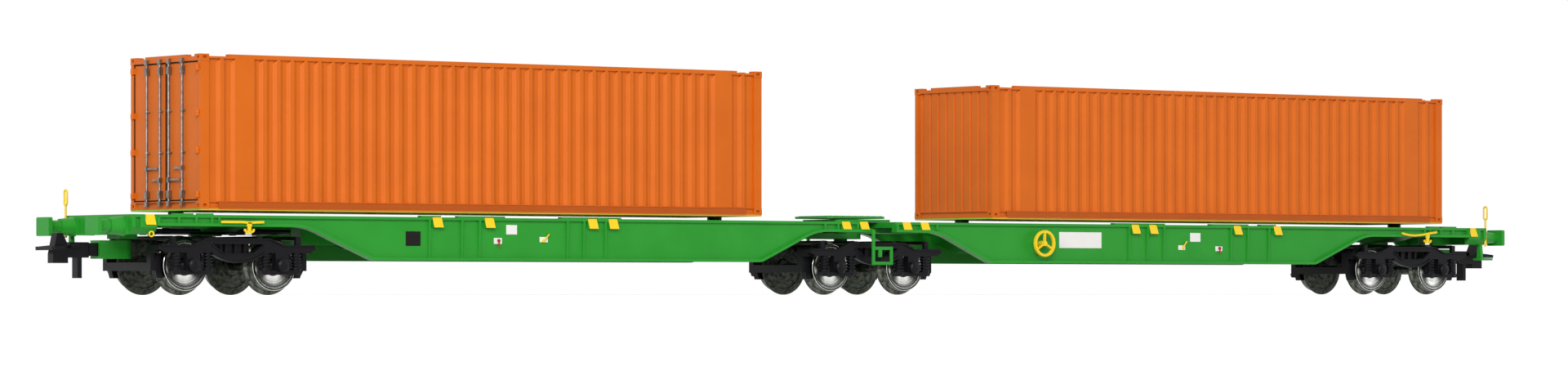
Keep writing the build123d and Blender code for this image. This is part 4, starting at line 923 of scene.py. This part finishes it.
print("brake bars on each unit:", len(bars))

# %% [markdown]
# Brake pipes. Two black pipes run under the deck over unit A's outer bogie and through its
# bolster, with a collar where they are joined. From the side they fill the dark slit
# between the bogie and the sill, and they ride above the tallest wheel flange.

# %% Brake pipes over the outer bogie
pipe_r, pipe_z = 0.55, 12.85
pipes_y = (-4.6, 4.6)
pipe_from, pipe_to = -180.4, -146.0
collars_x = (-175.0, -154.0)
collar_profile = [(-0.7, 0.5), (-0.7, 0.68), (0.7, 0.68), (0.7, 0.5)]
pipes = []
for y in pipes_y:
    pipes.append(swept([(pipe_from, y, pipe_z), (pipe_to, y, pipe_z)], pipe_r, sides=14))
    pipes += [turned(collar_profile, (x, y, pipe_z), "X", steps=16) for x in collars_x]
piping = piece("a_brake_pipes", joined(pipes), [bogie_black], "unit_a", smooth_deg=50)
print("pipes from", pipe_from, "to", pipe_to)

# %% [markdown]
# Lashing eye. Under the corner block at the doors' end hangs a yellow ring for the rope
# hook, a bent wire let into the beam.

# %% Lashing eye
eye_x, eye_y, eye_z, eye_r = -183.2, -13.2, 12.2, 0.5
eye_wire, eye_steps = 0.17, 24
eye_turns = [2 * math.pi * k / eye_steps for k in range(eye_steps + 1)]
ring_path = [(eye_x + eye_r * math.cos(turn), eye_y, eye_z + eye_r * math.sin(turn)) for turn in eye_turns]
eye = piece("a_lashing_eye", swept(ring_path, eye_wire, sides=10), [guide_yellow], "unit_a", smooth_deg=60)
print("eye at:", (eye_x, eye_y, eye_z))

# %% [markdown]
# Shunter's grips. A yellow rod stands at one corner of each end beam, with a long eye at
# its top that a shunter holds. The moulded CAD one is thicker than a hand would like, so a
# wire of the right gauge takes its place: a post with a sleeve at its foot, and an oval eye.

# %% Shunter's grips
grip_x, grip_y = 188.1, 13.0
grip_foot_z, eye_foot_z, eye_top_z = 11.62, 18.2, 21.5
eye_half_width = 0.58
eye_wire_r, post_r, sleeve_r = 0.21, 0.24, 0.29
sleeve_profile = [(0, 0.02), (0, sleeve_r), (3.9, sleeve_r), (4.2, post_r), (4.2, 0.02)]
upper_z = eye_top_z - eye_wire_r - eye_half_width
lower_z = eye_foot_z + eye_half_width
post_into_eye = 0.1
for unit, side in box_ends.items():
    x, y = side * grip_x, -side * grip_y
    loop = []
    for turn in eye_turns:
        middle_z = upper_z if math.sin(turn) >= 0 else lower_z
        loop.append((x, y + eye_half_width * math.cos(turn), middle_z + eye_half_width * math.sin(turn)))
    loop.append(loop[0])
    post = swept([(x, y, grip_foot_z), (x, y, eye_foot_z + post_into_eye)], post_r, sides=12)
    sleeve = turned(sleeve_profile, (x, y, grip_foot_z), "Z", steps=20)
    hold = swept(loop, eye_wire_r, sides=10)
    grip = piece(f"{unit}_grip_wire", joined([hold, post, sleeve]), [guide_yellow], f"unit_{unit}",
                 smooth_deg=60)
    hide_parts(f"{unit}_shunter_grip")
print("grips:", len(box_ends))

# %% [markdown]
# Tread ribs. The top cover plate over the joint is a walkway, so it has raised ribs across
# it that keep a shunter's boots from slipping.

# %% Tread ribs on the cover plate
cover_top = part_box("a_articulation_arm")[1].z / MM
rib_half_x, rib_half_y, rib_high, rib_sunk = 0.14, 6.0, 0.12, 0.02
first_rib_x, rib_step, rib_count = -7.0, 1.75, 9
ribs_x = [first_rib_x + rib_step * k for k in range(rib_count)]
ribs = [brick((x - rib_half_x, -rib_half_y, cover_top - rib_sunk),
              (x + rib_half_x, rib_half_y, cover_top + rib_high)) for x in ribs_x]
tread = piece("a_cover_tread_ribs", joined(ribs), [frame_green], "unit_a", edge_mm=0.05)
print("cover top in mm:", round(cover_top, 2))
